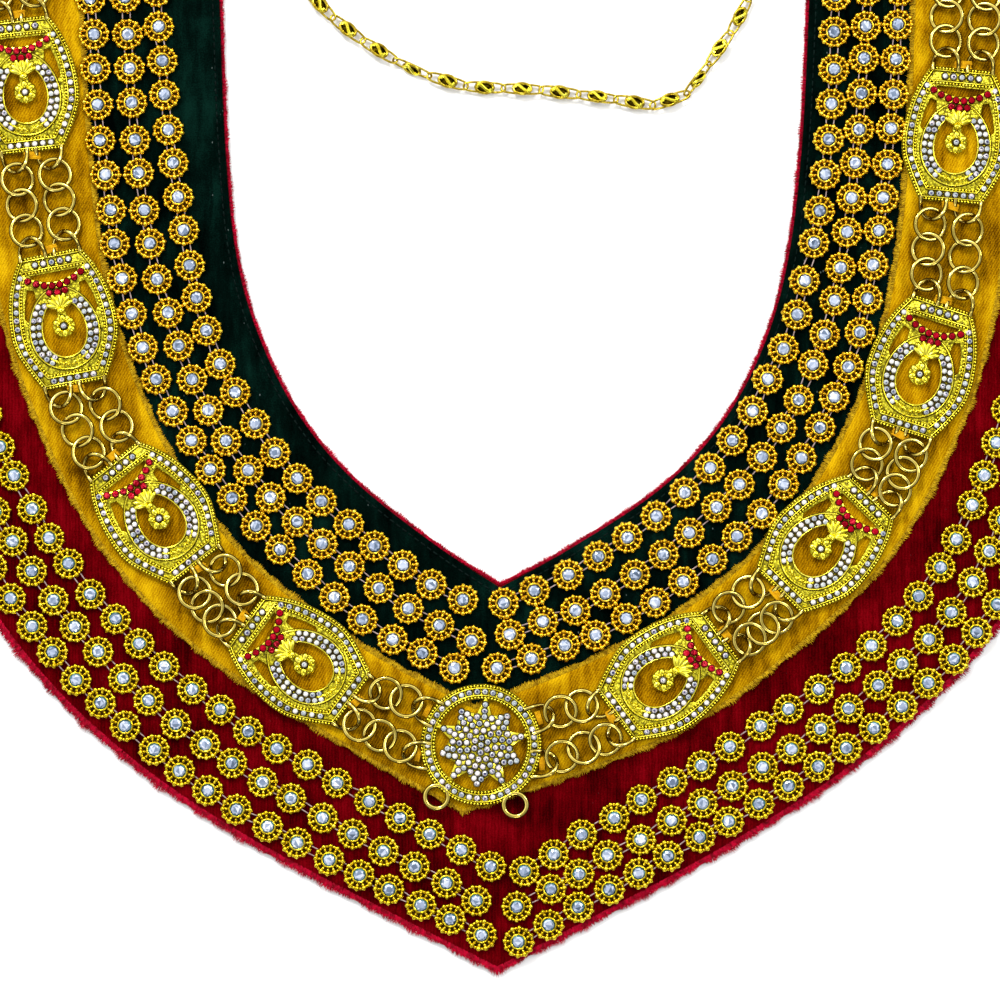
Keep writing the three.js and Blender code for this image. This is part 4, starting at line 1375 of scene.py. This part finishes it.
# Tack stitches: bundles of orange thread over the plaques' ends and beside the medallion
tack = {"strands": 6, "long": 5.2, "radius": 0.27, "bends": 6, "bow": 0.9, "reach": 22.1, "apart": 0.38,
        "leans": {1: 0.08, -1: -0.16}, "rise": 1.3, "sway": 0.03, "sizes": (0.92, 1.05),
        "medalStrands": 4, "medalFrom": 0.5, "medalApart": 0.42, "medalRise": 0.9, "medalSway": 0.04,
        "medalSize": 0.8}
bowed = np.arange(tack["bends"] + 1) / tack["bends"]
tackPoints = [(tack["long"] * (t - 0.5), 0, tack["bow"] * math.sin(math.pi * t)) for t in bowed]
tackShape = Shape(wireFrom("tack", tackPoints, tack["radius"], orangeThread, sides=1))
tacks = []
for side in sign:
    for x, y, turn in plaquePlaces[side]:
        t = math.radians(turn)
        for way, lean in tack["leans"].items():
            for k in range(tack["strands"]):
                off = (k - (tack["strands"] - 1) / 2) * tack["apart"]
                dx, dy = turned(0, way * tack["reach"] + off, t)
                tacks.append(onCollar((x + dx, y + dy), collar["metalLow"] + tack["rise"],
                                      t + lean + rng.normal(0, tack["sway"]), rng.uniform(*tack["sizes"])))
for side in sign:
    for strand in (0, 1):
        x, y, ahead = medalLoop(side, strand)
        for k in range(tack["medalStrands"]):
            dx, dy = turned(tack["medalFrom"] + tack["medalApart"] * k, 0, ahead)
            tacks.append(onCollar((x + dx, y + dy), collar["metalLow"] + tack["medalRise"],
                                  ahead + math.pi / 2 + rng.normal(0, tack["medalSway"]), tack["medalSize"]))
ready(stamped("tack_stitches", [(tackShape, tacks)]), "gold_velvet")

# Running stitch a little inside the neck edge
stitch = {"start": (0, -4.0), "inset": 2.9, "pitch": 2.4, "radius": 0.24, "long": 1.6, "rise": 0.03}
stitchShape = rodShape(stitch["radius"], stitch["long"], greenThread, ends="NGON")
spots = sampled(collarLine(stitch["start"], 0, stitch["inset"]), stitch["pitch"], closed=False)
stitches = [onCollar(a, collar["bandTop"] + stitch["rise"], bearing(a, b))
            for a, b in zip(spots[:-1], spots[1:])]
ready(stamped("neck_stitches", [(stitchShape, stitches)]), "green_velvet")
print("stitches sewn")

# Floor, light and camera
stageSettings = {"floor": 6, "floorLevel": -0.0002, "floorTone": 0.93, "height": 1.6, "frame": 0.3125,
                 "aim": (0.0, 25.94), "sharpLevel": 0.003, "sensor": 36}
clearSelection()
bpy.ops.mesh.primitive_plane_add(size=stageSettings["floor"], location=(0, 0, stageSettings["floorLevel"]))
floor = bpy.context.object
floor.name = "floor"
floorFinish = Finish("floorWhite", Roughness=0.9, Base_Color=(*[stageSettings["floorTone"]] * 3, 1))
floor.data.materials.append(floorFinish.material)

# The sky: a bright ring half way up that fades towards the front, so that curved metal gets light and dark
skySettings = {"stops": [(0.0, 0.30), (0.3, 0.34), (0.5, 1.5), (0.8, 1.5), (0.92, 0.8), (1.0, 0.75)],
               "from": (-0.4, 0.9, 0.0), "contrast": 0.62, "low": 0.12, "strength": 1.5}
world = bpy.data.worlds.new("studio")
bpy.context.scene.world = world
world.use_nodes = True
sky = Nodes(world.node_tree, "Background")
where = sky.node("TexCoord", out="Generated")
height = sky.node("SeparateXYZ", {}, {0: where}, "Z")
facing = sky.node("VectorMath", {"operation": "DOT_PRODUCT"}, {0: where, 1: skySettings["from"]}, "Value")
facing = (facing * skySettings["contrast"] + 0.5).clamp() * (1 - skySettings["low"]) + skySettings["low"]
sky.feed("Color", sky.ramp(height, [(place, (tone, tone, tone)) for place, tone in skySettings["stops"]]))
sky.feed("Strength", facing * skySettings["strength"])
lamps = {"key": ((-0.5, 1.0, 1.3), 0.35, 18), "fill": ((0.9, 0.4, 1.2), 0.4, 7),
         "front": ((0.1, -1.1, 1.2), 0.4, 3)}  # place, size and power
for name, (place, size, power) in lamps.items():
    inwards = Vector([-v for v in place]).to_track_quat("-Z", "Y").to_euler()
    bpy.ops.object.light_add(type="AREA", location=place, rotation=inwards)
    lamp = bpy.context.object
    lamp.name = name
    lamp.data.size = size
    lamp.data.energy = power

x, y = placed(stageSettings["aim"])
bpy.ops.object.camera_add(location=(x, y, stageSettings["height"]), rotation=(0, 0, 0))
camera = bpy.context.object
camera.data.sensor_width = stageSettings["sensor"]
distance = stageSettings["height"] - stageSettings["sharpLevel"]
camera.data.lens = stageSettings["sensor"] * distance / stageSettings["frame"]
bpy.context.scene.camera = camera
bpy.context.scene.view_settings.view_transform = "Standard"
print("stage ready")
